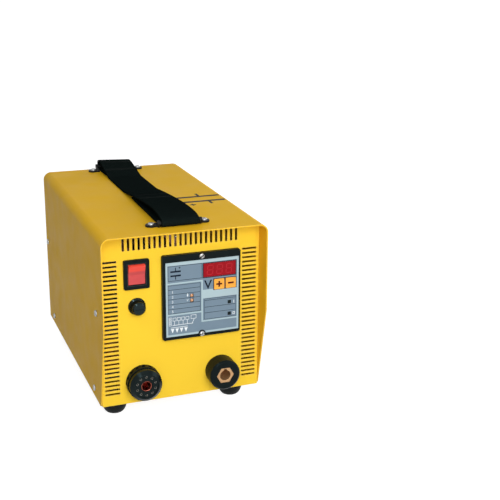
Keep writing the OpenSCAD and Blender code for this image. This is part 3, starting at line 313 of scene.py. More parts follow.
def metalLook(metal, tarnish, smooth=0.22, rough=0.42, scale=500.0):
    return {"Metal": (*metal, 1), "Tarnish": (*tarnish, 1), "Smooth": smooth, "Rough": rough, "Scale": scale}


# gap: the painted shade between the yarns
def weaveLook(yarn, gap, rib, pick):
    return {"Yarn": (*yarn, 1), "Gap": (*gap, 1), "Rib": rib, "Pick": pick}


def sheen(level, tint=(1, 1, 1)):
    return {"Specular IOR Level": level, "Specular Tint": (*tint, 1)}


# black and its paler tone, which also carries the painted edge highlight
black, blackWearAndHighlight = (0.004, 0.0058, 0.0058), (0.018, 0.023, 0.023)
cool = (0.62, 0.95, 1.0)
bareMetal = {"Metallic": 1.0}
finishes = {
    "yellow_paint": makeFinish(
        "yellowPowderCoat", "coat", coatLook((0.93, 0.545, 0.02), (0.84, 0.45, 0.015), (1.0, 0.86, 0.42)),
        sheen(0.02), edge=0.0006, bump=0.06),
    # painted light: a lighter, more lemon copy of the cover's yellow paint, for the lit front panel
    "panel_lit_paint": makeFinish(
        "panelLitPowderCoat", "coat", coatLook((0.94, 0.62, 0.042), (0.85, 0.53, 0.033), (1.0, 0.88, 0.46)),
        sheen(0.02), edge=0.0006, bump=0.06),
    "black_paint": makeFinish(
        "blackBracketPaint", "coat",
        coatLook((0.006, 0.007, 0.007), (0.003, 0.004, 0.004), (0.08, 0.085, 0.085), 900.0),
        sheen(0.14), edge=0.0004, bump=0.1),
    "zinc": makeFinish(
        "zincPlate", "metal", metalLook((0.4, 0.41, 0.41), (0.16, 0.16, 0.155), 0.3, 0.5),
        bareMetal, edge=0.0003, bump=0.08),
    "webbing": makeFinish(
        "blackWebbing", "weave", weaveLook((0.0135, 0.0215, 0.0205), (0.0012, 0.002, 0.0018), 0.0022, 0.0011),
        sheen(0.0), edge=0, bump=0.6, depth=0.0004),
    "black_rubber": makeFinish(
        "blackRubber", "grain", grainLook((0.006, 0.008, 0.008), (0.02, 0.025, 0.025), 0.45, 0.65, 900.0),
        sheen(0.1), edge=0.0006, bump=0.2),
    "black_plastic": makeFinish(
        "blackMoulding", "grain", grainLook(black, blackWearAndHighlight, 0.28, 0.42), sheen(0.08, cool), bump=0.12),
    "red_plastic": makeFinish(
        "redRocker", "grain", grainLook((0.55, 0.06, 0.065), (0.8, 0.13, 0.1), 0.18, 0.3, 2200.0),
        {"Specular IOR Level": 0.2, "Coat Weight": 0.1, "Coat Roughness": 0.15}, edge=0.0006, bump=0.05),
    "label_film": makeFinish(
        "labelFilm", "grain", grainLook((0.165, 0.235, 0.3), (0.21, 0.285, 0.35), 0.35, 0.5, 3000.0),
        sheen(0.2), edge=0, bump=0.05),
    "red_filter": makeFinish(
        "redFilter", "grain", grainLook((0.31, 0.008, 0.014), (0.36, 0.011, 0.018), 0.12, 0.2, 2500.0),
        sheen(0.06), edge=0.0003, bump=0.03),
    "orange_key": makeFinish(
        "orangeKey", "grain", grainLook((0.92, 0.38, 0.035), (0.98, 0.5, 0.1), 0.35, 0.5, 2500.0),
        edge=0.0004, bump=0.06),
    "amber_lens": makeFinish(
        "amberLens", "grain", grainLook((0.44, 0.19, 0.075), (0.62, 0.36, 0.18), 0.2, 0.35),
        {"Coat Weight": 0.2}, edge=0.0004, bump=0.04),
    "dark_lens": makeFinish(
        "darkLens", "grain", grainLook((0.008, 0.014, 0.015), (0.03, 0.045, 0.045), 0.12, 0.22),
        sheen(0.12), edge=0.0004, bump=0.04),
    "brass": makeFinish(
        "turnedBrass", "metal", metalLook((0.52, 0.31, 0.15), (0.38, 0.2, 0.085), 0.28, 0.48, 900.0),
        {"Metallic": 0.6}, edge=0.0003, bump=0.08),
    "copper": makeFinish(
        "drawnCopper", "metal", metalLook((0.6, 0.25, 0.15), (0.24, 0.08, 0.05), 0.2, 0.38, 900.0),
        bareMetal, edge=0.0003, bump=0.06),
    "board": makeFinish(
        "greenBoard", "grain", grainLook((0.02, 0.16, 0.06), (0.06, 0.26, 0.12), 0.3, 0.45, 800.0),
        edge=0, bump=0.1),
    "can_sleeve": makeFinish(
        "canSleeve", "grain", grainLook((0.012, 0.03, 0.1), (0.05, 0.08, 0.16), 0.25, 0.4),
        edge=0.0008, bump=0.08),
    "insulator": makeFinish(
        "insulatingSheet", "grain", grainLook((0.62, 0.56, 0.38), (0.7, 0.65, 0.5), 0.4, 0.6, 400.0),
        edge=0.0004, bump=0.1),
    "laminations": makeFinish(
        "laminations", "metal", metalLook((0.3, 0.31, 0.33), (0.16, 0.13, 0.11), 0.4, 0.6, 700.0),
        {"Metallic": 0.8}, edge=0.0004, bump=0.3),
    "winding": makeFinish(
        "windingTape", "grain", grainLook((0.6, 0.2, 0.04), (0.75, 0.32, 0.1), 0.35, 0.55, 300.0),
        edge=0.001, bump=0.2),
    "sink": makeFinish(
        "extrudedAluminium", "metal", metalLook((0.8, 0.81, 0.82), (0.6, 0.6, 0.6), 0.3, 0.5),
        bareMetal, edge=0.0003, bump=0.08),
    "resin": makeFinish("darkResin", "grain", grainLook(black, blackWearAndHighlight, 0.4, 0.6), edge=0.0006),
    "dark_pin": makeFinish(
        "darkPin", "metal", metalLook((0.3, 0.29, 0.26), (0.1, 0.09, 0.08)),
        bareMetal, edge=0.0002, bump=0.05),
    "old_copper": makeFinish(
        "oldCopper", "metal", metalLook((0.42, 0.12, 0.085), (0.1, 0.025, 0.02), 0.14, 0.3, 900.0),
        bareMetal, edge=0.0002, bump=0.12),
    "gloss_black": makeFinish(
        "glossMoulding", "grain", grainLook(black, blackWearAndHighlight, 0.16, 0.28), sheen(0.13, cool), bump=0.05),
    "fuse_gloss": makeFinish(
        "fuseGloss", "grain", grainLook(black, blackWearAndHighlight, 0.16, 0.22), sheen(0.26, cool), edge=0, bump=0.02),
    "fuse_matt": makeFinish(
        "fuseMatt", "grain", grainLook(black, blackWearAndHighlight, 0.5, 0.65), sheen(0.02), edge=0, bump=0.05),
    "fuse_glass": makeFinish(
        "fuseGlass", "grain", grainLook((0.8, 0.82, 0.83), (0.9, 0.9, 0.9), 0.05, 0.12),
        {"Coat Weight": 0.5}, edge=0.0003, bump=0.02),
}


# nodes whose look differs from the rest of their material; the front panel takes a lighter, more lemon copy
# of the yellow paint, which is painted light
special = {"gun_socket_pins": "dark_pin", "gun_socket_body": "gloss_black", "front_panel": "panel_lit_paint"}


def dressNodes():
    for part in frame["record"]["subparts"]:
        mesh = nodes[part["node"]].data
        mesh.materials.clear()
        mesh.materials.append(finishes[special.get(part["node"], part["material_slot"])])


# painted highlight: the upper third of the rocker's lens is painted warmer and brighter
rockerHighlight = {"low": 185.8, "high": 188.2, "color": (0.86, 0.075, 0.05, 1)}


def warmRocker(g):
    tree = finishes["red_plastic"].node_tree
    base = tree.nodes["Principled BSDF"].inputs["Base Color"]
    plain = base.links[0].from_socket
    place = put(tree, "ShaderNodeTexCoord").outputs["Object"]
    height = put(tree, "ShaderNodeSeparateXYZ", {0: place}).outputs["Z"]
    share = spread(tree, height, g["low"] * mm, g["high"] * mm)
    tree.links.new(blendColor(tree, share, plain, g["color"]), base)


warmRocker(rockerHighlight)
dressNodes()
print("solids dressed with", len(finishes), "finishes")


# pieces made here: a mesh in mm becomes an object that rides on a body
def addPiece(name, bm, material, body, smooth=False):
    bmesh.ops.scale(bm, vec=(mm, mm, mm), verts=bm.verts)
    bmesh.ops.recalc_face_normals(bm, faces=bm.faces)
    mesh = bpy.data.meshes.new(name)
    bm.to_mesh(mesh)
    bm.free()
    mesh.materials.append(material)
    for face in mesh.polygons:
        face.use_smooth = smooth
    piece = bpy.data.objects.new(name, mesh)
    scene.collection.objects.link(piece)
    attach(piece, body)
    return piece


def addBox(bm, low, high):
    size = [h - l for l, h in zip(low, high)]
    middle = [(h + l) / 2 for l, h in zip(low, high)]
    bmesh.ops.create_cube(bm, size=1.0, matrix=Matrix.Translation(middle) @ Matrix.Diagonal((*size, 1)))


# flat print: outlines in x and z raised from a plane that faces the front
def addPrint(bm, outline, planeY, lift):
    back = [bm.verts.new((x, planeY, z)) for x, z in outline]
    front = [bm.verts.new((x, planeY - lift, z)) for x, z in outline]
    bm.faces.new(front)
    bm.faces.new(back[::-1])
    for i in range(len(outline)):
        j = (i + 1) % len(outline)
        bm.faces.new((back[i], back[j], front[j], front[i]))


def rect(x0, z0, x1, z1):
    return [(x0, z0), (x1, z0), (x1, z1), (x0, z1)]


def rim(x0, z0, x1, z1, t):
    level = [rect(x0, z0, x1, z0 + t), rect(x0, z1 - t, x1, z1)]
    return level + [rect(x0, z0 + t, x0 + t, z1 - t), rect(x1 - t, z0 + t, x1, z1 - t)]


# one plain colour with faint paler patches, for prints and small marks
inkForm = {"gain": 1.15, "add": 0.004, "roughSpan": 0.08, "scale": 3500.0, "sheen": 0.06, "bump": 0.03}


def ink(name, color, rough=0.5):
    paler = [min(1, c * inkForm["gain"] + inkForm["add"]) for c in color]
    span = inkForm["roughSpan"]
    look = grainLook(color, paler, rough - span, rough + span, inkForm["scale"])
    return makeFinish(name, "grain", look, sheen(inkForm["sheen"]), edge=0, bump=inkForm["bump"])


# printed label in three inks: rectangles (left, low, right, high), rims (the same and a thickness) and
# outlines, in mm from the label's middle
studs = (-36.6, -31.4, -26.2, -21.0)
labelBox = inMm(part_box("module_label"))
labelArt = {
    "middle": labelBox["middle"].xz,
    "planeY": labelBox["low"].y,
    "pale": {
        "color": (0.41, 0.53, 0.57),
        "lift": 0.05,
        "rects": [
            (-44.6, 41.5, 44.6, 45.4), (-44.6, -45.4, -42.3, 41.5), (42.3, -45.4, 44.6, 41.5),
            (-42.3, -45.4, 42.3, -43.0), (-42.3, 18.9, -1.6, 20.7), (-1.6, -31.4, 0.2, 20.7),
            (-42.3, -19.3, -1.6, -17.5), (0.2, -2.4, 42.3, 6.6), (0.2, -31.4, 42.3, -29.6),
            (0.2, 6.6, 13.1, 8.2),
        ],
        "rims": [],
        "outlines": [],
    },
    "dark": {
        "color": (0.012, 0.018, 0.03),
        "lift": 0.08,
        # ruled lines, then the capacitor sign with its plus
        "rects": [(-41.8, z, -3.2, z + 0.45) for z in (12.2, 6.4, 0.5, -5.6, -11.6)]
        + [(2.4, z, 40.7, z + 0.45) for z in (-5.5, -13.8, -20.9)]
        + [(-38.8, 33.2, -26.3, 35.2), (-38.8, 28.2, -26.3, 30.2), (-33.1, 35.2, -32.1, 39.0),
           (-33.1, 24.6, -32.1, 28.2), (-29.0, 38.2, -26.6, 38.8), (-28.1, 37.3, -27.5, 39.7)],
        # sign's field, display, two keys, left field, right field
        "rims": [
            (-41.8, 23.0, -0.5, 41.0, 0.45), (0.2, 22.5, 41.6, 41.0, 0.8), (13.1, 6.6, 27.3, 20.6, 0.6),
            (27.5, 6.6, 41.7, 20.6, 0.6), (-42.0, -16.9, -2.8, 17.8, 0.35), (2.0, -28.8, 41.4, -3.2, 0.35),
        ],
        "outlines": [],
    },
    "white": {
        "color": (0.8, 0.84, 0.86),
        "lift": 0.08,
        # line over the arrow heads, mark I, arrow's shaft, studs on their sheet
        "rects": [(-39.0, -34.4, -18.6, -33.8), (38.3, -12.4, 39.1, -8.6), (-18.8, 4.6, -18.0, 6.0),
                  (-37.0, -31.6, -12.0, -31.0)] + [(x + 1.85, -31.0, x + 2.35, -26.2) for x in studs],
        # mark O, box, stack, stud heads
        "rims": [(37.2, -26.4, 40.2, -23.4, 0.6), (-14.6, -25.8, -8.0, -20.9, 0.45)]
        + [(-41.2, z, -38.2, z + 2.2, 0.45) for z in (-31.6, -28.9, -26.2, -23.5)]
        + [(x, -26.2, x + 4.2, -22.0, 0.45) for x in studs],
        # row of arrow heads, small arrow's head, lead of the box
        "outlines": [[(x, -35.5), (x + 4.2, -35.5), (x + 2.1, -41.0)] for x in (-39.0, -33.6, -28.2, -22.8)]
        + [[(-19.5, 4.6), (-17.3, 4.6), (-18.4, 1.8)],
           [(-13.0, -31.0), (-12.4, -31.0), (-10.2, -25.8), (-10.8, -25.8)]],
    },
}


def labelPrints(art):
    midX, midZ = art["middle"]
    for tone in ("pale", "dark", "white"):
        layer = art[tone]
        shapes = [rect(*place) for place in layer["rects"]] + layer["outlines"]
        for place in layer["rims"]:
            shapes += rim(*place)
        bm = bmesh.new()
        for outline in shapes:
            addPrint(bm, [(x + midX, z + midZ) for x, z in outline], art["planeY"], layer["lift"])
        name = "label" + tone.capitalize()
        addPiece(name, bm, ink(name, layer["color"]), "housing")


labelPrints(labelArt)


# characters from the built-in font, as flat print on a front-facing plane
glyphs = {
    "capShare": 0.69, "lift": 0.08, "curveSteps": 3,
    "voltPlace": (6.6, 13.6), "voltHeight": 10.3, "voltBold": 0.24,
    "rowX": -36.5, "rowZ": (9.4, 3.5, -2.6, -8.6, -14.4), "rowHeight": 3.0,
    "smallPlace": (-18.4, -2.4), "smallHeight": 2.8,
}


def addGlyph(bm, art, marks, text, height, place, bold=0.0):
    lift = marks["lift"]
    curve = bpy.data.curves.new("glyphCurve", "FONT")
    curve.body, curve.size = text, height / marks["capShare"]
    curve.align_x, curve.align_y = "CENTER", "CENTER"
    curve.extrude = lift / 2
    curve.offset = bold
    curve.resolution_u = marks["curveSteps"]
    holder = bpy.data.objects.new("glyphHolder", curve)
    scene.collection.objects.link(holder)
    shape = bpy.data.meshes.new_from_object(holder.evaluated_get(bpy.context.evaluated_depsgraph_get()))
    spot = (art["middle"][0] + place[0], art["planeY"] - lift / 2, art["middle"][1] + place[1])
    shape.transform(Matrix.Translation(spot) @ Matrix.Rotation(math.radians(90), 4, "X"))
    bm.from_mesh(shape)
    bpy.data.objects.remove(holder)
    bpy.data.curves.remove(curve)
    bpy.data.meshes.remove(shape)


def labelGlyphs(art, marks):
    bm = bmesh.new()
    addGlyph(bm, art, marks, "V", marks["voltHeight"], marks["voltPlace"], marks["voltBold"])
    addPiece("labelVolt", bm, ink("labelVoltInk", art["dark"]["color"]), "housing")
    bm = bmesh.new()
    for number, z in enumerate(marks["rowZ"], 1):
        addGlyph(bm, art, marks, str(number), marks["rowHeight"], (marks["rowX"], z))
    addGlyph(bm, art, marks, "V", marks["smallHeight"], marks["smallPlace"])
    addPiece("labelNumbers", bm, ink("labelNumberInk", art["white"]["color"]), "housing")


labelGlyphs(labelArt, glyphs)

# three digits of the display, every bar shown, on the filter's face
digits = {
    "height": 11.0, "width": 6.6, "pitch": 11.6, "bar": 1.25, "gap": 0.25, "lean": 0.1,
    "sunk": 0.02, "lift": 0.05, "color": (0.4, 0.018, 0.026),
}


def displayDigits(d):
    bm = bmesh.new()
    window = inMm(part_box("display_window"))
    midX, midZ = window["middle"].xz
    w, h, t, gap = d["width"] / 2, d["height"] / 2, d["bar"] / 2, d["gap"]
    end, inner = w - gap, w - t - gap
    level = [(-end, 0), (-inner, t), (inner, t), (end, 0), (inner, -t), (-inner, -t)]
    upright = [(0, gap), (t, t + gap), (t, h - t - gap), (0, h - gap), (-t, h - t - gap), (-t, t + gap)]
    bars = [[(x, z + s * h) for x, z in level] for s in (-1, 0, 1)]
    bars += [[(x + s * w, z + low) for x, z in upright] for s in (-1, 1) for low in (-h, 0)]
    for place in (-1, 0, 1):
        for bar in bars:
            outline = [(midX + place * d["pitch"] + x + z * d["lean"], midZ + z) for x, z in bar]
            addPrint(bm, outline, window["low"].y + d["sunk"], d["lift"])
    addPiece("displayDigits", bm, ink("digitRed", d["color"], 0.3), "housing")


displayDigits(digits)

# plus and minus signs on the two keys
keySigns = {"arm": 3.6, "half": 1.05, "lift": 0.06, "color": (0.08, 0.012, 0.008)}


def keyPrints(k):
    material = ink("keySignInk", k["color"])
    a, t = k["arm"], k["half"]
    level, uprights = [rect(-a, -t, a, t)], [rect(-t, t, t, a), rect(-t, -a, t, -t)]
    for name, body, button, bars in (
        ("plusSign", "plus_key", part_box("plus_button"), level + uprights),
        ("minusSign", "minus_key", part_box("minus_button"), level),
    ):
        bm = bmesh.new()
        box = inMm(button)
        x, z = box["middle"].xz
        for bar in bars:
            addPrint(bm, [(x + u, z + v) for u, v in bar], box["low"].y, k["lift"])
        addPiece(name, bm, material, body)


keyPrints(keySigns)

# capacitor sign printed on the cover's top, beside the strap
topSign = {
    "z": case["topZ"], "lift": 0.05, "rearY": -24.5, "frontY": -47.5, "left": 13.0, "right": 89.5, "bar": 6.2,
    "tick": 3.4, "tickX": (63.0, 68.0), "tickReach": 14.0,
    "plus": (43.0, -61.0), "plusArm": 4.0, "plusHalf": 1.2,
    "color": (0.03, 0.025, 0.015),
}


def coverSign(s):
    bm = bmesh.new()

    def flat(x0, y0, x1, y1):
        addBox(bm, (x0, y0, s["z"]), (x1, y1, s["z"] + s["lift"]))

    half, thin, reach = s["bar"] / 2, s["tick"] / 2, s["tickReach"]
    for y in (s["rearY"], s["frontY"]):
        flat(s["left"], y - half, s["right"], y + half)
    rearX, frontX = s["tickX"]
    flat(rearX - thin, s["rearY"] + half, rearX + thin, s["rearY"] + reach)
    flat(frontX - thin, s["frontY"] - reach, frontX + thin, s["frontY"] - half)
    (x, y), arm, t = s["plus"], s["plusArm"], s["plusHalf"]
    flat(x - arm, y - t, x + arm, y + t)
    flat(x - t, y + t, x + t, y + arm)
    flat(x - t, y - arm, x + t, y - t)
    addPiece("coverSign", bm, ink("coverInk", s["color"]), "housing")


coverSign(topSign)
print("prints done")

# webbing strap, along the same line as its solid, one edge of each arch a little slack
strapForm = {
    "width": 45.0, "thick": 2.2, "gap": 0.3, "barRadius": 2.25, "sewn": 0.87,
    "front": {
        "bar": -144.0, "way": 1, "leave": 60.0, "pull": 10.0,
        "swell": 50.0, "rise": 13.0, "arch": 170.0, "slack": 1.6,
    },
    "rear": {
        "bar": 162.5, "way": -1, "leave": -35.0, "pull": 17.0,
        "swell": 10.0, "rise": 10.0, "arch": 60.0, "slack": 2.4,
    },
    "tailSteps": 24, "turnSteps": 20, "bowSteps": 64, "restSteps": 16,
    "edge": ((0.05, 0.55), (0.5, 0.86)), "flatInset": 1.6, "flatSteps": 14, "fill": 0.98,
    "tackRows": (2.5, 4.5, 6.5, 30.0, 32.0), "tackPitch": 2.6, "tackInset": 3.0,
    "tackLow": (0.95, 0.28, 0.2), "tackHigh": (0.95, 0.28, 0.22), "thread": (0.007, 0.0095, 0.009),
}


# one end, from the sewn tail round the bracket's bar and over the arch: places and the slack there
def strapEnd(s, end):
    mid = s["barRadius"] + s["gap"] + s["thick"] / 2
    barZ = case["topZ"] + s["barRadius"] + 2 * s["gap"] + s["thick"]
    restZ = case["topZ"] + s["gap"] + s["thick"] / 2
    way, bar = end["way"], end["bar"]

    def turn(degrees):
        a = math.radians(degrees)
        return Vector((bar + way * mid * math.cos(a), barZ + mid * math.sin(a)))

    last = math.radians(-180 - end["leave"])
    start = turn(-180 - end["leave"])
    pull = Vector((way * math.sin(last), -math.cos(last))) * end["pull"]
    swell = Vector((bar + way * end["swell"], restZ + end["rise"]))
    guides = (start, start + pull, swell, Vector((bar + way * end["arch"], restZ)))

    def bow(u):
        shares = ((1 - u) ** 3, 3 * (1 - u) ** 2 * u, 3 * (1 - u) * u * u, u ** 3)
        return sum((p * share for p, share in zip(guides, shares)), Vector((0, 0)))

    tail = bow(s["sewn"]) - Vector((0, s["thick"] + s["gap"]))
    tails, turns, bows = s["tailSteps"], s["turnSteps"], s["bowSteps"]
    line = [(tail + (turn(-90) - tail) * i / tails, 0.0) for i in range(tails)]
    line += [(turn(-90 - (90 + end["leave"]) * i / turns), 0.0) for i in range(turns)]
    line += [(bow(i / bows), end["slack"] * math.sin(math.pi * i / bows) ** 2) for i in range(bows + 1)]
    return line


def strapLine(s):
    front, rear = strapEnd(s, s["front"]), strapEnd(s, s["rear"])
    a, b, steps = front[-1][0], rear[-1][0], s["restSteps"]
    middle = [(a + (b - a) * i / steps, 0.0) for i in range(1, steps)]
    return front + middle + rear[::-1]


# cross-section: flat faces, edges rounded and a little thinner
def strapSection(s):
    half, inset, steps = s["width"] / 2, s["flatInset"], s["flatSteps"]
    edge = [(-half + x, h) for x, h in s["edge"]]
    flat = [(-half + inset + (s["width"] - 2 * inset) * i / steps, 1.0) for i in range(steps + 1)]
    side = edge + flat + [(-x, h) for x, h in reversed(edge)]
    return side + [(x, -h) for x, h in reversed(side)]


def makeStrap(s):
    line = strapLine(s)
    runs = [0.0]
    for (a, _), (b, _) in zip(line, line[1:]):
        runs.append(runs[-1] + (b - a).length)
    half, t = s["width"] / 2, s["thick"] / 2

    # place on the strap: sideways, along, and out from its middle line
    def spot(i, x, h):
        along = (line[min(i + 1, len(line) - 1)][0] - line[max(i - 1, 0)][0]).normalized()
        p = line[i][0] + Vector((-along.y, along.x)) * h
        return Vector((x, p.x, p.y + line[i][1] * (1 - x / half) / 2))

    section = strapSection(s)
    bm = bmesh.new()
    uv = bm.loops.layers.uv.new("lengths")
    rings = [[bm.verts.new(spot(i, x, h * t * s["fill"])) for x, h in section] for i in range(len(line))]
    count = len(section)
    for i in range(len(rings) - 1):
        for j in range(count):
            k = (j + 1) % count
            corners = ((i, j), (i, k), (i + 1, k), (i + 1, j))
            face = bm.faces.new([rings[a][b] for a, b in corners])
            for loop, (a, b) in zip(face.loops, corners):
                loop[uv].uv = (section[b][0] * mm, runs[a] * mm)
    bm.faces.new(rings[0])
    bm.faces.new(rings[-1][::-1])
    strap = addPiece("carryStrap", bm, finishes["webbing"], "housing", smooth=True)
    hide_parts("strap")
    print("strap length", round(runs[-1], 1), "mm")
    return runs, spot


# rows of thread that sew each tail to its arch
def makeTacks(s, runs, spot):
    bm = bmesh.new()
    half = s["width"] / 2 - s["tackInset"]
    sewn = s["tailSteps"] + s["turnSteps"] + round(s["bowSteps"] * s["sewn"])
    for seam, way in ((sewn, 1), (len(runs) - 1 - sewn, -1)):
        for row in s["tackRows"]:
            i = seam
            while abs(runs[i] - runs[seam]) < row:
                i -= way
            for k in range(int(2 * half / s["tackPitch"]) + 1):
                middle = spot(i, -half + k * s["tackPitch"], s["thick"] / 2)
                addBox(bm, middle - Vector(s["tackLow"]), middle + Vector(s["tackHigh"]))
    addPiece("strapTacks", bm, ink("tackThread", s["thread"], 0.8), "housing")


makeTacks(strapForm, *makeStrap(strapForm))


# faces between rings of vertices, closed at both ends
def joinRings(bm, rings):
    for a, b in zip(rings, rings[1:]):
        for i in range(len(a)):
            j = (i + 1) % len(a)
            bm.faces.new((a[i], a[j], b[j], b[i]))
    bm.faces.new(rings[0][::-1])
    bm.faces.new(rings[-1])


# boolean cut of one mesh by another, both in mm
def cutShape(body, tool):
    items = []
    for part in (body, tool):
        mesh = bpy.data.meshes.new("cutMesh")
        part.to_mesh(mesh)
        part.free()
        items.append(bpy.data.objects.new("cutItem", mesh))
        scene.collection.objects.link(items[-1])
    cut = items[0].modifiers.new("cut", "BOOLEAN")
    cut.operation, cut.object, cut.solver = "DIFFERENCE", items[1], "EXACT"
    cut.use_self = True
    result = bpy.data.meshes.new_from_object(items[0].evaluated_get(bpy.context.evaluated_depsgraph_get()))
    for item in items:
        mesh = item.data
        bpy.data.objects.remove(item)
        bpy.data.meshes.remove(mesh)
    bm = bmesh.new()
    bm.from_mesh(result)
    bpy.data.meshes.remove(result)
    return bm


# screw heads with a driver recess, one joined piece for each kind: shares of a head's width and height
headForm = {
    "steps": 32, "profile": ((1.0, 0.0), (1.0, 0.25), (0.97, 0.45), (0.86, 0.72), (0.66, 0.9), (0.4, 0.98)),
    "cross": (0.58, 0.14), "slot": (1.2, 0.16), "first": (0.45, 1.5), "second": (0.46, 1.6),
    "turn": 23, "turnStep": 61,
}
# each kind: its node, width, height, recess, and places in mm with the way they face
screws = {
    "coverScrewHeads": ("cover_screws", 7.5, 2.2, "cross", [
        ((side * case["sideX"], y, z), (side, 0, 0)) for side in (-1, 1)
        for y, z in ((-137.5, 138.0), (157.0, 138.0), (-114.5, 35.5), (134.0, 35.5))]),
    "bracketScrewHeads": ("bracket_screws", 7.5, 2.2, "cross", [
        ((side * 31.5, y, 236.2), (0, 0, 1)) for side in (-1, 1) for y in (-136.0, 154.5)]),
    "moduleScrewHeads": ("module_screws", 6.6, 1.8, "slot", [
        ((23.8, -151.5, z), (0, -1, 0)) for z in (197.7, 101.9)]),
    "inletScrewHeads": ("inlet_screws", 7.0, 1.0, "cross", [
        ((x, 169.0, 69.0), (0, 1, 0)) for x in (20.0, 60.0)]),
    "footScrewHeads": ("foot_screws", 10.0, 3.0, "cross", [
        ((side * 74.0, y, 16.0), (0, 0, -1)) for side in (-1, 1) for y in (-110.5, 130.0)]),
}


def headMesh(f, width, height, recess):
    body, tool = bmesh.new(), bmesh.new()
    rings = []
    for share, h in f["profile"]:
        r = share * width / 2
        angles = [2 * math.pi * i / f["steps"] for i in range(f["steps"])]
        rings.append([body.verts.new((r * math.cos(a), r * math.sin(a), h * height)) for a in angles])
    joinRings(body, rings)
    long, wide = [share * width / 2 for share in f[recess]]
    low, high = [share * height for share in f["first"]]
    addBox(tool, (-long, -wide, low), (long, wide, high))
    if recess == "cross":
        low, high = [share * height for share in f["second"]]
        addBox(tool, (-wide, -long, low), (wide, long, high))
    return cutShape(body, tool)


def placeHeads(f, name, node, width, height, recess, places):
    head = headMesh(f, width, height, recess)
    bm = bmesh.new()
    for i, (spot, facing) in enumerate(places):
        copy = bpy.data.meshes.new("headShape")
        head.to_mesh(copy)
        turn = Vector(facing).to_track_quat("Z", "Y").to_matrix().to_4x4()
        spin = Matrix.Rotation(math.radians(f["turn"] + f["turnStep"] * i), 4, "Z")
        copy.transform(Matrix.Translation(spot) @ turn @ spin)
        bm.from_mesh(copy)
        bpy.data.meshes.remove(copy)
    head.free()
    piece = addPiece(name, bm, finishes["zinc"], "housing")
    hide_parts(node)


for name, kind in screws.items():
    placeHeads(headForm, name, *kind)
print("strap and screw heads done")


# turned forms on the front panel: outlines of radius and height, turned about an axis that faces the front
def addTurned(bm, outline, x, z, steps=64, ribs=0, ribDepth=0.0, ribSpan=(0.0, 0.0)):
    rings = []
    for radius, h in outline:
        ribbed = ribs and ribSpan[0] <= h <= ribSpan[1]
        ring = []
        for i in range(steps):
            a = 2 * math.pi * i / steps
            r = radius - (ribDepth * (0.5 - 0.5 * math.cos(ribs * a)) if ribbed else 0.0)
            ring.append(bm.verts.new((x + r * math.cos(a), case["panelY"] - h, z + r * math.sin(a))))
        rings.append(ring)
    joinRings(bm, rings)


def arc(midR, midH, radius, start, stop, count):
    angles = [math.radians(start + (stop - start) * i / count) for i in range(count + 1)]
    return [(midR + radius * math.cos(a), midH + radius * math.sin(a)) for a in angles]


# a slanting edge with both its corners eased
def bevelled(radius, height, bevel, ease=0.35, nickShare=0.15):
    slant, nick = ease * math.sqrt(0.5), ease * nickShare
    low, inner = height - bevel, radius - bevel
    return [(radius, low - ease), (radius - nick, low), (radius - slant, low + slant),
            (inner + slant, height - slant), (inner, height - nick), (inner - ease, height)]


# fuse holder's slanting flange, open for the carrier, and its cap: a ribbed grip and a slotted front
fuseForm = {
    "flange": 10.25, "flangeHeight": 3.0, "flangeBevel": 2.1, "barrel": 7.5, "seat": 2.0, "boreGap": 0.35,
    "boreStep": 0.01, "capRadius": 8.5, "capLow": 3.35, "capHigh": 11.85, "capBevel": 1.9, "draft": 0.6,
    "band": 0.6, "ribs": 24, "ribDepth": 0.4, "ribStart": 0.5, "gripSteps": 192, "frontSteps": 96,
    "joint": 0.02, "slot": (10.0, 1.4, 1.1), "slotOver": 1.0,
}


# where a box ends behind the panel's plane, as a height
def backOf(box):
    return case["panelY"] - inMm(box)["high"].y


def makeFuse(f):
    x, z = inMm(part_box("fuse_cap"))["middle"].xz
    back = backOf(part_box("fuse_holder"))
    carrier = inMm(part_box("fuse_carrier"))
    bore = (carrier["high"].x - carrier["low"].x) / 2 + f["boreGap"]
    bm = bmesh.new()
    outline = [(bore, back + f["seat"]), (f["barrel"], back), (f["barrel"], 0.0), (f["flange"], 0.0)]
    outline += bevelled(f["flange"], f["flangeHeight"], f["flangeBevel"])
    outline += [(bore, f["flangeHeight"]), (bore, back + f["seat"] + f["boreStep"])]
    addTurned(bm, outline, x, z)
    holder = addPiece("fuseHolder", bm, finishes["fuse_gloss"], "housing")
    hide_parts("fuse_holder")

    radius, low, top, band = f["capRadius"], f["capLow"], f["capHigh"], f["band"]
    tip, neck = radius - f["draft"], top - f["capBevel"] - band
    bm = bmesh.new()
    grip = [(radius, low), (radius, low + band), (tip, neck)]
    addTurned(bm, grip, x, z, f["gripSteps"], f["ribs"], f["ribDepth"], (low + f["ribStart"], neck))
    addPiece("fuseGrip", bm, finishes["fuse_matt"], "fuse_cap")

    front, tool = bmesh.new(), bmesh.new()
    outline = [(tip, neck + f["joint"])] + bevelled(tip, top, f["capBevel"])
    outline += [(tip - f["capBevel"] - band, top)]
    addTurned(front, outline, x, z, f["frontSteps"])
    wide, thin, deep = f["slot"]
    w, t, face = wide / 2, thin / 2, case["panelY"] - top
    addBox(tool, (x - w, face - f["slotOver"], z - t), (x + w, face + deep, z + t))
    cap = addPiece("fuseCap", cutShape(front, tool), finishes["fuse_gloss"], "fuse_cap")
    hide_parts("fuse_cap")


makeFuse(fuseForm)

# gun socket's centre contact: a tube with a flared, slotted mouth on a stud
contactForm = {
    "radius": 6.5, "mouth": 5.4, "bore": 4.0, "front": 16.5, "taper": 5.0, "throat": (0.2, 1.6),
    "stud": 4.0, "studLength": 8.0, "core": 0.5, "floor": 16.0,
    "lip": 0.55, "lipStart": 0.5, "lipArc": (20, 160, 5),
    "slotWidth": 0.9, "slotDepth": 7.0, "slotReach": 8.0, "slotOver": 1.0,
    "slotTurns": (45, 135), "slotStagger": 0.001,
}


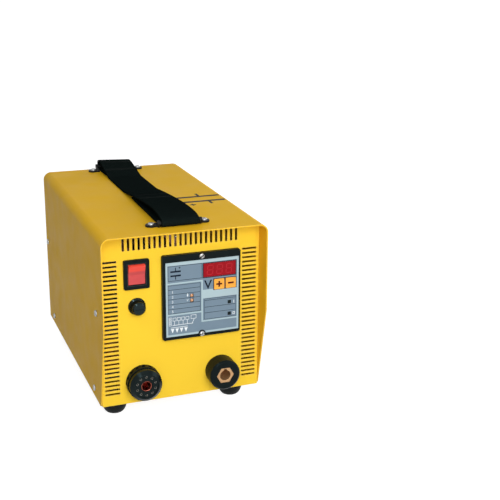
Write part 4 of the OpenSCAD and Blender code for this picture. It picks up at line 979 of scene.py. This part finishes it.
def makeContact(c):
    x, z = inMm(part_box("gun_socket_collar"))["middle"].xz
    back = backOf(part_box("gun_socket_contact"))
    top, radius, mouth = c["front"], c["radius"], c["mouth"]
    shoulder, floor = back + c["studLength"], back + c["floor"]
    outline = [(c["core"], back), (c["stud"], back), (c["stud"], shoulder), (radius, shoulder)]
    outline += [(radius, top - c["lipStart"])]
    outline += arc((radius + mouth) / 2, top - c["lip"], (radius - mouth) / 2, *c["lipArc"])
    outline += [(mouth - c["throat"][0], top - c["throat"][1]), (c["bore"], top - c["taper"])]
    outline += [(c["bore"], floor), (c["core"], floor)]
    tube, tool = bmesh.new(), bmesh.new()
    addTurned(tube, outline, x, z)
    half, reach, front = c["slotWidth"] / 2, c["slotReach"], case["panelY"] - top
    # the two slots' floors differ a little, so that no faces of the cutter coincide
    for turn in c["slotTurns"]:
        before = set(tool.verts)
        deep = front + c["slotDepth"] + turn * c["slotStagger"]
        addBox(tool, (x - reach, front - c["slotOver"], z - half), (x + reach, deep, z + half))
        fresh = [v for v in tool.verts if v not in before]
        spin = Matrix.Rotation(math.radians(turn), 3, "Y")
        bmesh.ops.rotate(tool, cent=(x, 0, z), matrix=spin, verts=fresh)
    contact = addPiece("gunContact", cutShape(tube, tool), finishes["old_copper"], "housing")
    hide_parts("gun_socket_contact")


makeContact(contactForm)

# painted shade: dark plates on the floors of the module screws' slots
slotShadeMarks = {
    "turns": (38.0, 12.0), "rise": 0.8, "lift": 0.95, "long": 6.0, "wide": 1.25,
    "color": (0.02, 0.022, 0.022),
}


def screwSlots(m):
    bm = bmesh.new()
    u, v = m["long"] / 2, m["wide"] / 2
    for ((x, seat, z), _), turn in zip(screws["moduleScrewHeads"][-1], m["turns"]):
        c, s = math.cos(math.radians(turn)), math.sin(math.radians(turn))
        outline = [(x + a * c - b * s, z + a * s + b * c) for a, b in rect(-u, -v, u, v)]
        addPrint(bm, outline, seat - m["rise"], m["lift"])
    addPiece("moduleScrewSlotShade", bm, ink("slotShade", m["color"], 0.6), "housing")


screwSlots(slotShadeMarks)

# two round sensor lamps, each a low amber lens with a paler core
lampForm = {
    "dome": 0.7, "domeAngles": (0.0, 0.35, 0.7, 1.05, 1.35), "lensSteps": 32,
    "core": 0.5, "coreTip": 0.6, "coreSunk": 0.3, "coreProud": 0.06, "coreSteps": 24,
    "coreColor": (0.66, 0.37, 0.2),
}


def makeLamps(d):
    box = inMm(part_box("sensor_lamps"))
    low, high, x = box["low"], box["high"], box["middle"].x
    radius = (high.x - low.x) / 2
    back, front = case["panelY"] - high.y, case["panelY"] - low.y
    core = radius * d["core"]
    dome = [(radius * math.cos(a), front - d["dome"] * (1 - math.sin(a))) for a in d["domeAngles"]]
    spot = [(core, front - d["coreSunk"]), (core, front), (core * d["coreTip"], front + d["coreProud"])]
    lens, cores = bmesh.new(), bmesh.new()
    for z in (low.z + radius, high.z - radius):
        addTurned(lens, [(radius, back)] + dome, x, z, d["lensSteps"])
        addTurned(cores, spot, x, z, d["coreSteps"])
    piece = addPiece("sensorLenses", lens, finishes["amber_lens"], "housing")
    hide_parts("sensor_lamps")
    addPiece("sensorCores", cores, ink("sensorCore", d["coreColor"], 0.35), "housing")


makeLamps(lampForm)

# raised bead round the rocker's opening
beadForm = {"size": (20.9, 25.4), "wide": 0.7, "lift": 0.35, "color": (0.035, 0.04, 0.04)}


def switchBead(b):
    switch = inMm(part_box("switch_body"))
    x, z = switch["middle"].xz
    w, h = [size / 2 + b["wide"] for size in b["size"]]
    bm = bmesh.new()
    for outline in rim(x - w, z - h, x + w, z + h, b["wide"]):
        addPrint(bm, outline, switch["low"].y, b["lift"])
    addPiece("switchBead", bm, ink("beadPlastic", b["color"], 0.3), "housing")


switchBead(beadForm)
print("fuse, contact, lamps and bead made")

# studio: pale floor, white behind, soft lamps (name, place in mm, size in mm, power in W)
studio = {
    "floorHalf": 9.0, "floorTone": (0.4, 0.4, 0.4, 1), "floorGlow": (0.88, 1.0),
    "glowFrom": 0.6, "glowTo": 2.4, "sky": 0.17, "white": (1, 1, 1, 1), "aim": (0, -60, 120),
    "lamps": [
        ("frontLamp", (-100, -1900, 900), 1500, 35.0),
        ("topLamp", (300, 300, 1700), 1600, 1.6),
        ("rightLamp", (1500, -700, 800), 900, 3.0),
        ("leftLamp", (-1100, -1700, 500), 900, 1.2),
        ("backLamp", (1500, 1350, 380), 700, 18.0),
        ("glintLamp", (-733, -840, 1418), 200, 3.0),
    ],
}


# floor lit by the lamps, and white to the eye, whiter with distance
def makeFloor(s):
    bm = bmesh.new()
    bmesh.ops.create_grid(bm, x_segments=2, y_segments=2, size=s["floorHalf"])
    mesh = bpy.data.meshes.new("studioFloor")
    bm.to_mesh(mesh)
    bm.free()
    floor = bpy.data.objects.new("studioFloor", mesh)
    scene.collection.objects.link(floor)
    plain = {"Base Color": s["floorTone"], "Roughness": 0.9, "Specular IOR Level": 0.0}
    material, tree, shader = startMaterial("paleFloor", plain)
    place = put(tree, "ShaderNodeTexCoord").outputs["Object"]
    away = put(tree, "ShaderNodeVectorMath", {0: place}, operation="LENGTH").outputs["Value"]
    level = spread(tree, away, s["glowFrom"], s["glowTo"], *s["floorGlow"])
    strength = calc(tree, "MULTIPLY", seenDirectly(tree), level)
    glow = put(tree, "ShaderNodeEmission", {"Color": s["white"], "Strength": strength})
    both = put(tree, "ShaderNodeAddShader", {0: shader.outputs[0], 1: glow.outputs[0]})
    tree.links.new(both.outputs[0], tree.nodes["Material Output"].inputs["Surface"])
    mesh.materials.append(material)


def makeSky(s):
    world = bpy.data.worlds.new("studioWorld")
    world.use_nodes = True
    scene.world = world
    tree = world.node_tree
    back = tree.nodes["Background"].inputs
    back["Color"].default_value = s["white"]
    tree.links.new(spread(tree, seenDirectly(tree), 0.0, 1.0, s["sky"], 1.0), back["Strength"])


def makeLights(s):
    for name, spot, size, power in s["lamps"]:
        lamp = bpy.data.lights.new(name, "AREA")
        lamp.shape, lamp.size, lamp.energy = "DISK", size * mm, power
        holder = bpy.data.objects.new(name, lamp)
        holder.location = Vector(spot) * mm
        toward = Vector(s["aim"]) * mm - holder.location
        holder.rotation_euler = toward.to_track_quat("-Z", "Y").to_euler()
        scene.collection.objects.link(holder)


makeFloor(studio)
makeSky(studio)
makeLights(studio)
print("studio ready")
